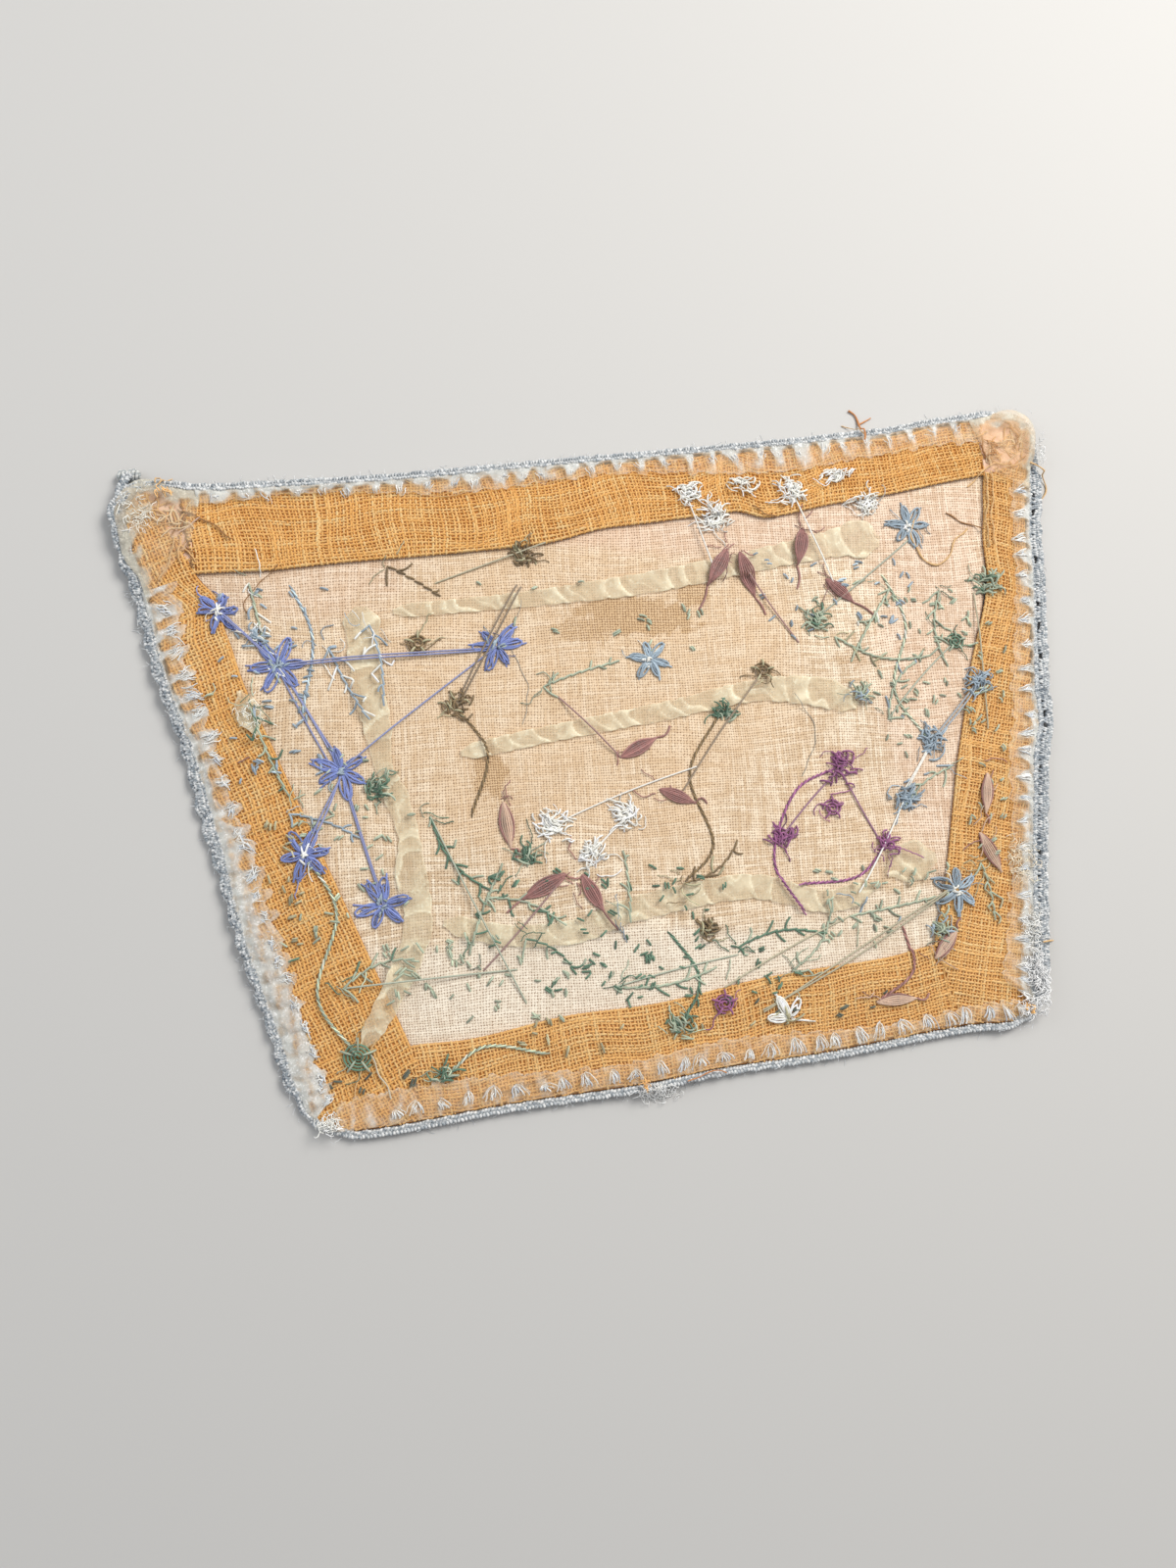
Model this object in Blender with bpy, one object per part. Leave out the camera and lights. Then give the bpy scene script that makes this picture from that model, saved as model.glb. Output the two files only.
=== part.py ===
"""Embroidered panel: a four-sided piece of linen with ochre open-weave borders,
sheer organza binding and ribbons, and a crocheted yarn edging, lying face up.

Sizes are in millimetres here and become metres as each mesh is made. +X is the
panel's right, +Y its top, +Z the side that shows. The origin is under the middle
of the panel, on the surface that it lies on. The four edges are numbered
anticlockwise from the top left corner, and a mark such as 1.25 is a place round
the panel: a quarter of the way along edge 1.
"""
from bisect import bisect_right
from collections import namedtuple
from math import exp, floor, pi, sin, tan

import bmesh
import bpy
from mathutils import Matrix, Vector

MM = 0.001

# Outline: where the straight edges would cross, and how far each corner is rounded
Corner = namedtuple("Corner", "name x y round")
CORNERS = (
    Corner("top_left", -127.0, 60.8, 9.0),
    Corner("bottom_left", -72.0, -99.3, 11.0),
    Corner("bottom_right", 116.2, -72.1, 6.0),
    Corner("top_right", 124.9, 99.7, 9.0),
)
EDGES = ("left", "bottom", "right", "top")

# How far each edge swings out from a straight line, at a share of its length
Sway = namedtuple("Sway", "along out")
EDGE_SWAYS = {
    "left": (Sway(0.07, 1.4), Sway(0.16, 0.5), Sway(0.29, 1.3), Sway(0.42, 0.1),
             Sway(0.56, 0.4), Sway(0.69, 1.2), Sway(0.90, -0.5)),
    "bottom": (Sway(0.10, 0.3), Sway(0.25, -0.4), Sway(0.43, 0.1), Sway(0.54, -0.6),
               Sway(0.68, -0.2), Sway(0.88, -1.1)),
    "right": (Sway(0.13, 0.7), Sway(0.40, 0.9), Sway(0.475, 2.6), Sway(0.53, 1.6),
              Sway(0.69, 0.8), Sway(0.80, -0.4)),
    "top": (Sway(0.12, -1.0), Sway(0.20, -2.5), Sway(0.30, -3.0), Sway(0.70, -3.0),
            Sway(0.88, -1.9)),
}
SWAY_FADE = 14.0
CORNER_SPREAD = 9
LEAST_MITRE = 0.7

# Crochet edging: a flat band of yarn with a row of stitches raised along it
Edging = namedtuple("Edging", "width scallop_pitch scallop")
EDGING = {
    "left": Edging(5.0, 7.0, 0.9),
    "bottom": Edging(3.4, 5.0, 0.2),
    "right": Edging(4.6, 7.0, 0.4),
    "top": Edging(2.6, 6.0, 0.1),
}
WIDTH_BLEND = 0.12
STITCHES = 269
YARN_BAND = 1.7
STITCH_RISE = 0.5
INNER_RISE = 0.3
STITCH_BULGE = 0.2
YARN_SHOULDER = 0.5
TAIL_MARK = 4.012
TAIL_REACH = Vector((3.0, 6.0))
TAIL_WIDTH = 2.6
TAIL_BLUNT = 1.35

# Linen ground: the window that shows between the borders, and its tuck beneath them
Place = namedtuple("Place", "x y")
WINDOW = (Place(-102.9, 39.5), Place(-47.7, -75.7), Place(86.4, -51.4), Place(106.2, 77.6))
WINDOW_SWAYS = {
    "left": (Sway(0.07, -2.4), Sway(0.13, -0.8), Sway(0.25, 0.4), Sway(0.85, 0.1)),
    "bottom": (Sway(0.11, 1.1), Sway(0.28, 0.0), Sway(0.45, 1.2), Sway(0.68, 0.0),
               Sway(0.90, 0.9)),
    "right": (Sway(0.13, 1.2), Sway(0.35, 1.1), Sway(0.54, 1.9), Sway(0.76, 4.4),
              Sway(0.89, 1.5)),
    "top": (Sway(0.20, -2.4), Sway(0.30, -4.0), Sway(0.34, -1.2), Sway(0.50, -1.4),
            Sway(0.59, -3.5), Sway(0.90, -1.4)),
}
LINEN = 1.0
TUCK = 4.0
GROUND_CELLS = (24, 14)

# Ochre borders: the marks on the outline between which each one runs
Border = namedtuple("Border", "edge start end")
BORDERS = (
    Border("left", -0.039, 1.145),
    Border("bottom", 1.145, 1.880),
    Border("right", 1.880, 2.900),
    Border("top", 3.077, 3.924),
)
OCHRE = 1.0
OCHRE_INSET = 1.6
SEAM = 0.25
BORDER_STEP = 7.5
STEP_DOWN_FROM = 5.5
STEP_DOWN_OVER = 12.0

# Organza binding: a toothed strip on each edge, and a folded scrap at two corners
Binding = namedtuple("Binding", "edge start end depth tooth")
BINDINGS = (
    Binding("left", 0.172, 0.985, 6.0, 2.2),
    Binding("bottom", 1.015, 1.985, 4.2, 1.4),
    Binding("right", 2.015, 2.860, 6.4, 2.0),
    Binding("top", 3.085, 3.910, 4.0, 1.8),
)
Scrap = namedtuple("Scrap", "name start end inner_start inner_end puff")
CORNER_SCRAPS = (
    Scrap("corner_scrap_top_left", 3.918, 4.165, Place(-104.0, 46.0), Place(-107.5, 41.5), 0.7),
    Scrap("corner_scrap_top_right", 2.868, 3.077, Place(110.0, 76.5), Place(107.5, 79.5), 1.3),
)
BINDING_CLEAR = 0.5
BINDING_WANDER = 1.0
WANDER_RATE = 0.11
SCRAP_CELLS = (10, 4)
ORGANZA = 0.8
CRUMPLE = 0.35

# Ribbons: the middle line and width of each, from its first end to its last
Turn = namedtuple("Turn", "x y width")
RIBBONS = {
    "ribbon_left": (Turn(-62.0, 33.0, 10.0), Turn(-60.0, 18.0, 8.0), Turn(-57.0, 2.0, 7.0),
                    Turn(-52.0, -16.0, 6.0), Turn(-45.8, -34.0, 7.0), Turn(-47.0, -50.0, 7.0),
                    Turn(-53.5, -65.9, 6.0), Turn(-59.0, -76.0, 4.5)),
    "ribbon_top": (Turn(-54.5, 32.0, 5.0), Turn(-20.0, 36.8, 5.5), Turn(8.7, 42.0, 6.5),
                   Turn(35.4, 48.7, 6.0), Turn(60.0, 55.3, 7.0), Turn(73.0, 57.6, 8.0)),
    "ribbon_middle": (Turn(-36.7, -4.0, 5.0), Turn(-14.4, 1.6, 5.5), Turn(16.3, 8.6, 5.5),
                      Turn(40.0, 14.6, 6.0), Turn(57.5, 14.6, 7.5), Turn(67.4, 11.2, 5.0)),
    "ribbon_bottom": (Turn(-40.3, -46.2, 5.0), Turn(-24.0, -49.3, 5.5), Turn(-6.8, -48.1, 6.0),
                      Turn(5.7, -43.1, 6.5), Turn(36.4, -36.7, 6.5), Turn(57.2, -40.3, 6.0),
                      Turn(70.5, -36.6, 5.5)),
    "ribbon_scrap_right": (Turn(74.5, -33.0, 5.0), Turn(80.3, -29.9, 9.5), Turn(86.0, -28.6, 6.0)),
    "ribbon_scrap_left": (Turn(-91.0, 10.0, 4.0), Turn(-88.5, 4.5, 6.5), Turn(-86.5, -1.0, 4.0)),
}
RIBBON = 0.8
RIBBON_STEP = 5.0
RIBBON_TWIST = 0.9
RIBBON_SLANT = 0.25
CLIMB_FROM = 6.0
CLIMB_OVER = 4.0

# Soft lifts: the places where the cloth stands a little off the surface
Lift = namedtuple("Lift", "name x y reach height")
LIFTS = (
    Lift("top left curl", -120.0, 60.0, 38.0, 2.0),
    Lift("top right lump", 118.0, 92.0, 30.0, 1.4),
    Lift("bottom right puff", 114.0, -58.0, 32.0, 0.9),
    Lift("left edge, upper ripple", -108.0, 8.0, 26.0, 0.9),
    Lift("left edge, lower ripple", -88.0, -50.0, 26.0, 0.8),
    Lift("right edge ripple", 126.0, -4.0, 26.0, 0.8),
    Lift("bottom edge ripple", 14.0, -88.0, 28.0, 0.7),
    Lift("pucker, left", -66.0, 8.0, 30.0, 0.6),
    Lift("pucker, upper", -10.0, 56.0, 34.0, 0.6),
    Lift("pucker, right", 68.0, 20.0, 34.0, 0.7),
)
CLEAR = 0.3
SHEER_CLEAR = 0.45

for thing in list(bpy.data.objects):
    bpy.data.objects.remove(thing)


def eased(share):
    """0 to 1 with a level start and end."""
    share = min(1.0, max(0.0, share))
    return share * share * (3.0 - 2.0 * share)


def swayed(rows, along):
    """How far an edge swings out at a share of its length, level at each row."""
    knots = (Sway(0.0, 0.0),) + tuple(rows) + (Sway(1.0, 0.0),)
    for before, after in zip(knots, knots[1:]):
        if along <= after.along:
            share = (along - before.along) / (after.along - before.along)
            return before.out + (after.out - before.out) * eased(share)
    return 0.0


def lift(spot):
    """Height of the cloth's underside above the surface."""
    height = 0.0
    for row in LIFTS:
        near = 1.0 - ((spot.x - row.x) ** 2 + (spot.y - row.y) ** 2) / row.reach ** 2
        height += row.height * max(0.0, near) ** 2
    return height


def corner_spot(index, corners=CORNERS):
    corner = corners[index % len(corners)]
    return Vector((corner.x, corner.y))


def edge_frame(index, corners=CORNERS):
    """Start, direction, outward direction and length of one edge."""
    start = corner_spot(index, corners)
    run = corner_spot(index + 1, corners) - start
    along = run.normalized()
    return start, along, Vector((along.y, -along.x)), run.length


def corner_turn(index):
    """How far the outline turns at a corner, and how far from it the rounding starts."""
    turn = edge_frame(index - 1)[1].angle(edge_frame(index)[1])
    return turn, CORNERS[index % 4].round * tan(turn / 2)


def outline_path():
    """Marks and points a millimetre apart: each edge's run, then the arc after it."""
    path = []
    for index, edge in enumerate(EDGES):
        start, along, out, length = edge_frame(index)
        first = corner_turn(index)[1]
        turn, last = corner_turn(index + 1)
        steps = round(length)
        for step in range(steps + 1):
            far = first + (length - first - last) * step / steps
            fade = eased(min(far - first, length - last - far) / SWAY_FADE)
            sway = swayed(EDGE_SWAYS[edge], far / length) * fade
            path.append((index + far / length, start + along * far + out * sway))
        radius = CORNERS[(index + 1) % 4].round
        centre = start + along * (length - last) - out * radius
        arc_steps = max(2, round(turn * radius))
        mark_before = index + 1 - last / length
        mark_after = index + 1 + last / edge_frame(index + 1)[3]
        for step in range(1, arc_steps):
            share = step / arc_steps
            spoke = Matrix.Rotation(turn * share, 2) @ out
            path.append((mark_before + (mark_after - mark_before) * share, centre + spoke * radius))
    return path


Station = namedtuple("Station", "mark spot inward")


def rim_stations(count):
    """Even stations round the outline, each with its mark and its mitred inward step."""
    path = outline_path()
    path.append((path[0][0] + 4.0, path[0][1]))
    travelled = [0.0]
    for (_, here), (_, there) in zip(path, path[1:]):
        travelled.append(travelled[-1] + (there - here).length)
    marks, spots = [], []
    for number in range(count):
        far = travelled[-1] * number / count
        row = min(bisect_right(travelled, far), len(path) - 1)
        share = (far - travelled[row - 1]) / (travelled[row] - travelled[row - 1])
        (mark_a, spot_a), (mark_b, spot_b) = path[row - 1], path[row]
        marks.append(mark_a + (mark_b - mark_a) * share)
        spots.append(spot_a.lerp(spot_b, share))
    square = []
    for number in range(count):
        run = (spots[(number + 1) % count] - spots[number - 1]).normalized()
        square.append(Vector((-run.y, run.x)))
    stations = []
    for number in range(count):
        spread = range(number - CORNER_SPREAD, number + CORNER_SPREAD + 1)
        inward = sum((square[near % count] for near in spread), Vector((0.0, 0.0))).normalized()
        mitre = 1.0 / max(LEAST_MITRE, inward.dot(square[number]))
        stations.append(Station(marks[number], spots[number], inward * mitre))
    return stations, travelled[-1] / count


RIM, RIM_STEP = rim_stations(2 * STITCHES)
RIM_MARKS = [station.mark for station in RIM]


def rim_at(mark, depth):
    """The point a given depth inside the outline, at a mark."""
    mark = RIM_MARKS[0] + (mark - RIM_MARKS[0]) % 4.0
    row = bisect_right(RIM_MARKS, mark)
    before, after = RIM[row - 1], RIM[row % len(RIM)]
    after_mark = after.mark if row < len(RIM) else after.mark + 4.0
    share = (mark - before.mark) / (after_mark - before.mark)
    return before.spot.lerp(after.spot, share) + before.inward.lerp(after.inward, share) * depth


def edging_width(mark):
    """Width of the crochet band, eased from one edge's to the next round each corner."""
    index = floor(mark + 0.5)
    share = eased((mark - index) / WIDTH_BLEND + 0.5)
    before = EDGING[EDGES[(index - 1) % 4]].width
    return before + (EDGING[EDGES[index % 4]].width - before) * share


def window_spot(mark):
    """A point on the window's edge."""
    index = floor(mark)
    start, along, out, length = edge_frame(index, WINDOW)
    share = mark - index
    return start + along * length * share + out * swayed(WINDOW_SWAYS[EDGES[index % 4]], share)


def outside_window(spot):
    """How far a point lies outside the window, and below 0 inside it."""
    furthest = -1000.0
    for index, edge in enumerate(EDGES):
        start, along, out, length = edge_frame(index, WINDOW)
        reach = spot - start
        share = min(1.0, max(0.0, reach.dot(along) / length))
        furthest = max(furthest, reach.dot(out) - swayed(WINDOW_SWAYS[edge], share))
    return furthest


def border_under(spot):
    """Underside of the borders: over the linen's tuck, then down to the surface."""
    down = (outside_window(spot) - STEP_DOWN_FROM) / STEP_DOWN_OVER
    return lift(spot) + (LINEN + CLEAR) * (1.0 - min(1.0, max(0.0, down)))


def finish(name, mesh_data, colour, roughness):
    """One named object with a Principled material, from a filled bmesh."""
    bmesh.ops.recalc_face_normals(mesh_data, faces=mesh_data.faces)
    mesh = bpy.data.meshes.new(name)
    mesh_data.to_mesh(mesh)
    mesh_data.free()
    material = bpy.data.materials.new(name)
    material.use_nodes = True
    surface = material.node_tree.nodes["Principled BSDF"]
    surface.inputs["Base Color"].default_value = (*colour, 1.0)
    surface.inputs["Roughness"].default_value = roughness
    surface.inputs["Metallic"].default_value = 0.0
    mesh.materials.append(material)
    thing = bpy.data.objects.new(name, mesh)
    bpy.context.scene.collection.objects.link(thing)


def sheet(name, plan, under, over, colour, roughness):
    """A closed sheet over a plan of points in rows, between its two surfaces."""
    mesh_data = bmesh.new()
    low = [[mesh_data.verts.new((*(spot * MM), under(spot) * MM)) for spot in row] for row in plan]
    high = [[mesh_data.verts.new((*(spot * MM), over(spot, r, c) * MM))
             for c, spot in enumerate(row)] for r, row in enumerate(plan)]
    rows, columns = len(plan), len(plan[0])
    for r in range(rows - 1):
        for c in range(columns - 1):
            mesh_data.faces.new((high[r][c], high[r + 1][c], high[r + 1][c + 1], high[r][c + 1]))
            mesh_data.faces.new((low[r][c], low[r][c + 1], low[r + 1][c + 1], low[r + 1][c]))
    ring = [(r, 0) for r in range(rows)]
    ring += [(rows - 1, c) for c in range(1, columns)]
    ring += [(r, columns - 1) for r in range(rows - 2, -1, -1)]
    ring += [(0, c) for c in range(columns - 2, 0, -1)]
    for (r, c), (next_r, next_c) in zip(ring, ring[1:] + ring[:1]):
        mesh_data.faces.new((low[r][c], low[next_r][next_c], high[next_r][next_c], high[r][c]))
    finish(name, mesh_data, colour, roughness)


# Linen ground: the window and its tuck, as one sheet with soft puckers
def linen_ground():
    tucked = []
    for index in range(4):
        start, before, before_out, _ = edge_frame(index - 1, WINDOW)
        corner, _, out, _ = edge_frame(index, WINDOW)
        bisector = (before_out + out).normalized()
        tucked.append(corner + bisector * TUCK / bisector.dot(out))
    top_left, bottom_left, bottom_right, top_right = tucked
    across, down = GROUND_CELLS
    plan = []
    for r in range(down + 1):
        left = bottom_left.lerp(top_left, r / down)
        right = bottom_right.lerp(top_right, r / down)
        plan.append([left.lerp(right, c / across) for c in range(across + 1)])
    sheet("linen_ground", plan, lift, lambda spot, r, c: lift(spot) + LINEN,
          (0.72, 0.58, 0.42), 0.9)


# Ochre borders: four strips of open weave from the window's edge out to the edging
def ochre_border(row):
    index = EDGES.index(row.edge)
    start_gap = SEAM / edge_frame(index, WINDOW)[3]
    rim_gap = SEAM / edge_frame(index)[3]
    ends = (window_spot(index + start_gap), window_spot(index + 1 - start_gap))
    cells = round((ends[1] - ends[0]).length / BORDER_STEP) + 4
    plan = []
    for number in range(cells + 1):
        share = number / cells
        inner = window_spot(index + start_gap + (1 - 2 * start_gap) * share)
        mark = row.start + rim_gap + (row.end - row.start - 2 * rim_gap) * share
        outer = rim_at(mark, edging_width(mark) + OCHRE_INSET)
        length = (outer - inner).length
        first = STEP_DOWN_FROM / length
        shares = (0.0, first, (1.0 + first) / 2, 1.0)
        plan.append([inner.lerp(outer, part) for part in shares])
    sheet("border_" + row.edge, plan, border_under,
          lambda spot, r, c: border_under(spot) + OCHRE, (0.68, 0.40, 0.15), 0.85)


def sheer_under(spot):
    """Underside of the organza, clear of the borders below it."""
    return border_under(spot) + OCHRE + SHEER_CLEAR


# Organza binding: a sheer strip with pointed teeth on its inner edge
def organza_binding(row):
    first = next(n for n, station in enumerate(RIM) if station.mark >= row.start)
    last = next(n for n, station in enumerate(RIM) if station.mark >= row.end)
    plan = []
    for number in range(first, last, 2):
        station = RIM[number]
        outer = edging_width(station.mark) + BINDING_CLEAR
        tooth = row.tooth if (number - first) % 4 == 0 else 0.0
        inner = outer + row.depth + tooth + BINDING_WANDER * (sin(number * WANDER_RATE) - 1.0)
        plan.append([station.spot + station.inward * depth for depth in (outer, inner)])
    sheet("binding_" + row.edge, plan, sheer_under,
          lambda spot, r, c: sheer_under(spot) + ORGANZA + CRUMPLE * sin(1.9 * r + 1.3 * c),
          (0.62, 0.55, 0.44), 0.6)


# Corner scraps: organza folded round the two upper corners, to the window's corners
def corner_scrap(row):
    cells, layers = SCRAP_CELLS
    inner_start, inner_end = Vector(row.inner_start), Vector(row.inner_end)
    plan = []
    for number in range(cells + 1):
        share = number / cells
        mark = row.start + (row.end - row.start) * share
        outer = rim_at(mark, edging_width(mark) + BINDING_CLEAR)
        inner = inner_start.lerp(inner_end, share)
        plan.append([outer.lerp(inner, part / layers) for part in range(layers + 1)])

    def over(spot, r, c):
        crown = sin(pi * r / cells) * sin(pi * c / layers)
        return sheer_under(spot) + ORGANZA + row.puff * crown + CRUMPLE * 0.5 * sin(2.3 * r + c)

    sheet(row.name, plan, sheer_under, over, (0.62, 0.52, 0.40), 0.6)


def ribbon_under(spot):
    """Underside of a ribbon: on the linen, and up over a border where it crosses one."""
    over_linen = lift(spot) + LINEN
    climb = eased((outside_window(spot) + CLIMB_FROM) / CLIMB_OVER)
    return over_linen + (border_under(spot) + OCHRE - over_linen) * climb + SHEER_CLEAR


# Ribbons: narrow organza laid in slanting turns along a smooth line
def ribbon(name, turns):
    spots = [Vector((turn.x, turn.y)) for turn in turns]
    plan = []
    for leg in range(len(turns) - 1):
        here, there = spots[leg], spots[leg + 1]
        start_run = there - spots[max(0, leg - 1)]
        end_run = spots[min(len(turns) - 1, leg + 2)] - here
        length = (there - here).length
        start_pull = start_run.normalized() * length / 3
        end_pull = end_run.normalized() * length / 3
        steps = max(2, round(length / RIBBON_STEP))
        for step in range(steps + (leg == len(turns) - 2)):
            t = step / steps
            a = here.lerp(here + start_pull, t)
            b = (here + start_pull).lerp(there - end_pull, t)
            c = (there - end_pull).lerp(there, t)
            middle = a.lerp(b, t).lerp(b.lerp(c, t), t)
            run = (b.lerp(c, t) - a.lerp(b, t)).normalized()
            side = Vector((-run.y, run.x))
            width = turns[leg].width + (turns[leg + 1].width - turns[leg].width) * t
            slant = run * width * RIBBON_SLANT
            plan.append([middle + side * width / 2 + slant, middle - side * width / 2 - slant])

    def over(spot, r, c):
        return ribbon_under(spot) + RIBBON + RIBBON_TWIST * ((r + c) % 2)

    sheet(name, plan, ribbon_under, over, (0.70, 0.58, 0.41), 0.55)


# Crochet edging: one closed ring of stitches, scalloped, with a knotted tail
def crochet_edging():
    mesh_data = bmesh.new()
    loops = []
    tail = min(RIM, key=lambda station: abs(station.mark - TAIL_MARK))
    for number, station in enumerate(RIM):
        edging = EDGING[EDGES[floor(station.mark) % 4]]
        travelled = number * RIM_STEP
        scallop = edging.scallop * abs(sin(pi * travelled / edging.scallop_pitch))
        raised = number % 2
        outer = -scallop - STITCH_BULGE * raised
        width = edging_width(station.mark)
        far = (station.spot - tail.spot).length / TAIL_WIDTH
        pull = TAIL_REACH * min(1.0, TAIL_BLUNT * exp(-far * far))
        base = lift(station.spot)
        section = (
            (outer, base, 1.0),
            (outer + YARN_SHOULDER, base + YARN_BAND + STITCH_RISE * raised, 1.0),
            (width, base + YARN_BAND + INNER_RISE * (1 - raised), 0.0),
            (width, base, 0.0),
        )
        loop = []
        for depth, height, pulled in section:
            spot = station.spot + station.inward * depth + pull * pulled
            loop.append(mesh_data.verts.new((*(spot * MM), height * MM)))
        loops.append(loop)
    for loop, next_loop in zip(loops, loops[1:] + loops[:1]):
        for corner in range(4):
            after = (corner + 1) % 4
            mesh_data.faces.new((loop[corner], next_loop[corner], next_loop[after], loop[after]))
    finish("crochet_edging", mesh_data, (0.45, 0.50, 0.60), 0.8)


linen_ground()
for border in BORDERS:
    ochre_border(border)
for binding in BINDINGS:
    organza_binding(binding)
for scrap in CORNER_SCRAPS:
    corner_scrap(scrap)
for ribbon_name, ribbon_turns in RIBBONS.items():
    ribbon(ribbon_name, ribbon_turns)
crochet_edging()
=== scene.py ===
"""Embroidered panel, dressed: linen with ochre open-weave borders, sheer organza
binding and ribbons, thread embroidery, and a crocheted yarn edging.

Places and sizes are in millimetres until a mesh is made. +X is the panel's right,
+Y its top, and +Z faces up from the surface that the panel lies on.
"""

from collections import namedtuple
from json import dumps
from math import radians, tan

import bpy
import numpy as np
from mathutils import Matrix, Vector


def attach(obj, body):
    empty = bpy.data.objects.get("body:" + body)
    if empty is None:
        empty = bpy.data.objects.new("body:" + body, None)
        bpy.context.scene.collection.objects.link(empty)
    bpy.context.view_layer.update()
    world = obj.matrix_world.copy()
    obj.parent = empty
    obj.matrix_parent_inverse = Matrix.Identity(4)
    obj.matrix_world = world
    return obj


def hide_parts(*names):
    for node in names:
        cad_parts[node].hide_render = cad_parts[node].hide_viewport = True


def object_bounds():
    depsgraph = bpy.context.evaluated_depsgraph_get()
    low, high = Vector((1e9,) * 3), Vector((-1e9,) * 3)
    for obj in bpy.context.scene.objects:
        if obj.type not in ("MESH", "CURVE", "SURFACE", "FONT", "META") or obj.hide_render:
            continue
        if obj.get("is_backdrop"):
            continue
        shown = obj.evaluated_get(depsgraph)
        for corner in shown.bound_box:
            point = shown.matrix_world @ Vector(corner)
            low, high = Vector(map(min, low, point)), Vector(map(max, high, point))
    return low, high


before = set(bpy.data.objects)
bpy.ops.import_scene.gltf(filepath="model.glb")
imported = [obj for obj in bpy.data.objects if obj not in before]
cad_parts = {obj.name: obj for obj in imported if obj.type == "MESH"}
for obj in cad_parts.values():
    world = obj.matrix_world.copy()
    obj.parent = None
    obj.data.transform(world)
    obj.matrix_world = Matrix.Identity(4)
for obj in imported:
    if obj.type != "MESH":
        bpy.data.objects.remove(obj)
cad_low, cad_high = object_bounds()

MM = 0.001


def table(kind, *rows):
    """A table's rows with their columns named."""
    return tuple(kind(*row) for row in rows)


def placed(name, data):
    """A new object in the scene."""
    thing = bpy.data.objects.new(name, data)
    bpy.context.scene.collection.objects.link(thing)
    return thing


# Camera: a phone held level over the cloth, a little to its lower left, 1200 pixels
# wide by 1600 high. It leans by a few degrees to the right and away.
PICTURE_HEIGHT = 1600
FOCAL_PIXELS = 1200
CAMERA_SPOT = Vector((-46.2, -53.6, 294.0))
LEAN_BACK, LEAN_RIGHT = 8.19, -8.11
lens = bpy.data.cameras.new("camera")
lens.sensor_width = 36.0
lens.lens = lens.sensor_width * FOCAL_PIXELS / PICTURE_HEIGHT
lens.clip_start = 0.01
camera = placed("camera", lens)
camera.location = CAMERA_SPOT * MM
camera.rotation_euler = (radians(LEAN_BACK), radians(LEAN_RIGHT), 0.0)
bpy.context.scene.camera = camera

# Studio: a plain pale floor under one broad soft light from the upper right, a weaker
# one from the left, and an even pale sky, so that the lower left is a little dimmer.
FLOOR_SIZE = 6.0
FLOOR_COLOUR = (0.55, 0.54, 0.525, 1.0)
SKY_COLOUR, SKY_STRENGTH = (0.95, 0.97, 1.0, 1.0), 0.46
Lamp = namedtuple("Lamp", "name x y z size watts colour")
LAMPS = table(
    Lamp,
    ("key_light", 380.0, 420.0, 620.0, 420.0, 7.1, (1.0, 0.975, 0.93)),
    ("side_light", -620.0, 180.0, 420.0, 500.0, 1.3, (0.90, 0.95, 1.0)))
half = FLOOR_SIZE / 2
floor_mesh = bpy.data.meshes.new("floor")
floor_mesh.from_pydata([(-half, -half, 0), (half, -half, 0), (half, half, 0), (-half, half, 0)],
                       [], [(0, 1, 2, 3)])
floor = placed("floor", floor_mesh)
floor_finish = bpy.data.materials.new("floor")
floor_finish.use_nodes = True
floor_surface = floor_finish.node_tree.nodes["Principled BSDF"]
floor_surface.inputs["Base Color"].default_value = FLOOR_COLOUR
floor_surface.inputs["Roughness"].default_value = 0.9
floor_mesh.materials.append(floor_finish)
floor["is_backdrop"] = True
for row in LAMPS:
    glow = bpy.data.lights.new(row.name, "AREA")
    glow.size = row.size * MM
    glow.energy = row.watts
    glow.color = row.colour
    lamp = placed(row.name, glow)
    lamp.location = Vector((row.x, row.y, row.z)) * MM
    lamp.rotation_euler = (-lamp.location).to_track_quat("-Z", "Y").to_euler()
sky = bpy.data.worlds.new("sky")
sky.use_nodes = True
sky.node_tree.nodes["Background"].inputs["Color"].default_value = SKY_COLOUR
sky.node_tree.nodes["Background"].inputs["Strength"].default_value = SKY_STRENGTH
bpy.context.scene.world = sky
bpy.context.scene.view_settings.view_transform = "Standard"


# Linen ground: a plain-woven pale beige cloth, worn and stained, with its edges tucked
# under the borders. It puckers softly where it has been sewn, and lies flat elsewhere.
Lift = namedtuple("Lift", "x y reach height")
Crease = namedtuple("Crease", "x1 y1 x2 y2 width rise")
Patch = namedtuple("Patch", "x y across down amount")
WINDOW = ((-102.9, 39.5), (-47.7, -75.7), (86.4, -51.4), (106.2, 77.6))
# For each edge of the window, how far it swings out at shares of its length
WINDOW_SWAYS = (
    ((0.07, -2.4), (0.13, -0.8), (0.25, 0.4), (0.85, 0.1)),
    ((0.11, 1.1), (0.28, 0.0), (0.45, 1.2), (0.68, 0.0), (0.90, 0.9)),
    ((0.13, 1.2), (0.35, 1.1), (0.54, 1.9), (0.76, 4.4), (0.89, 1.5)),
    ((0.20, -2.4), (0.30, -4.0), (0.34, -1.2), (0.50, -1.4), (0.59, -3.5), (0.90, -1.4)),
)
LIFTS = table(
    Lift,
    (-120, 60, 38, 2), (118, 92, 30, 1.4), (114, -58, 32, 0.9), (-108, 8, 26, 0.9), (-88, -50, 26, 0.8),
    (126, -4, 26, 0.8), (14, -88, 28, 0.7), (-66, 8, 30, 0.6), (-10, 56, 34, 0.6), (68, 20, 34, 0.7))
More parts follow.
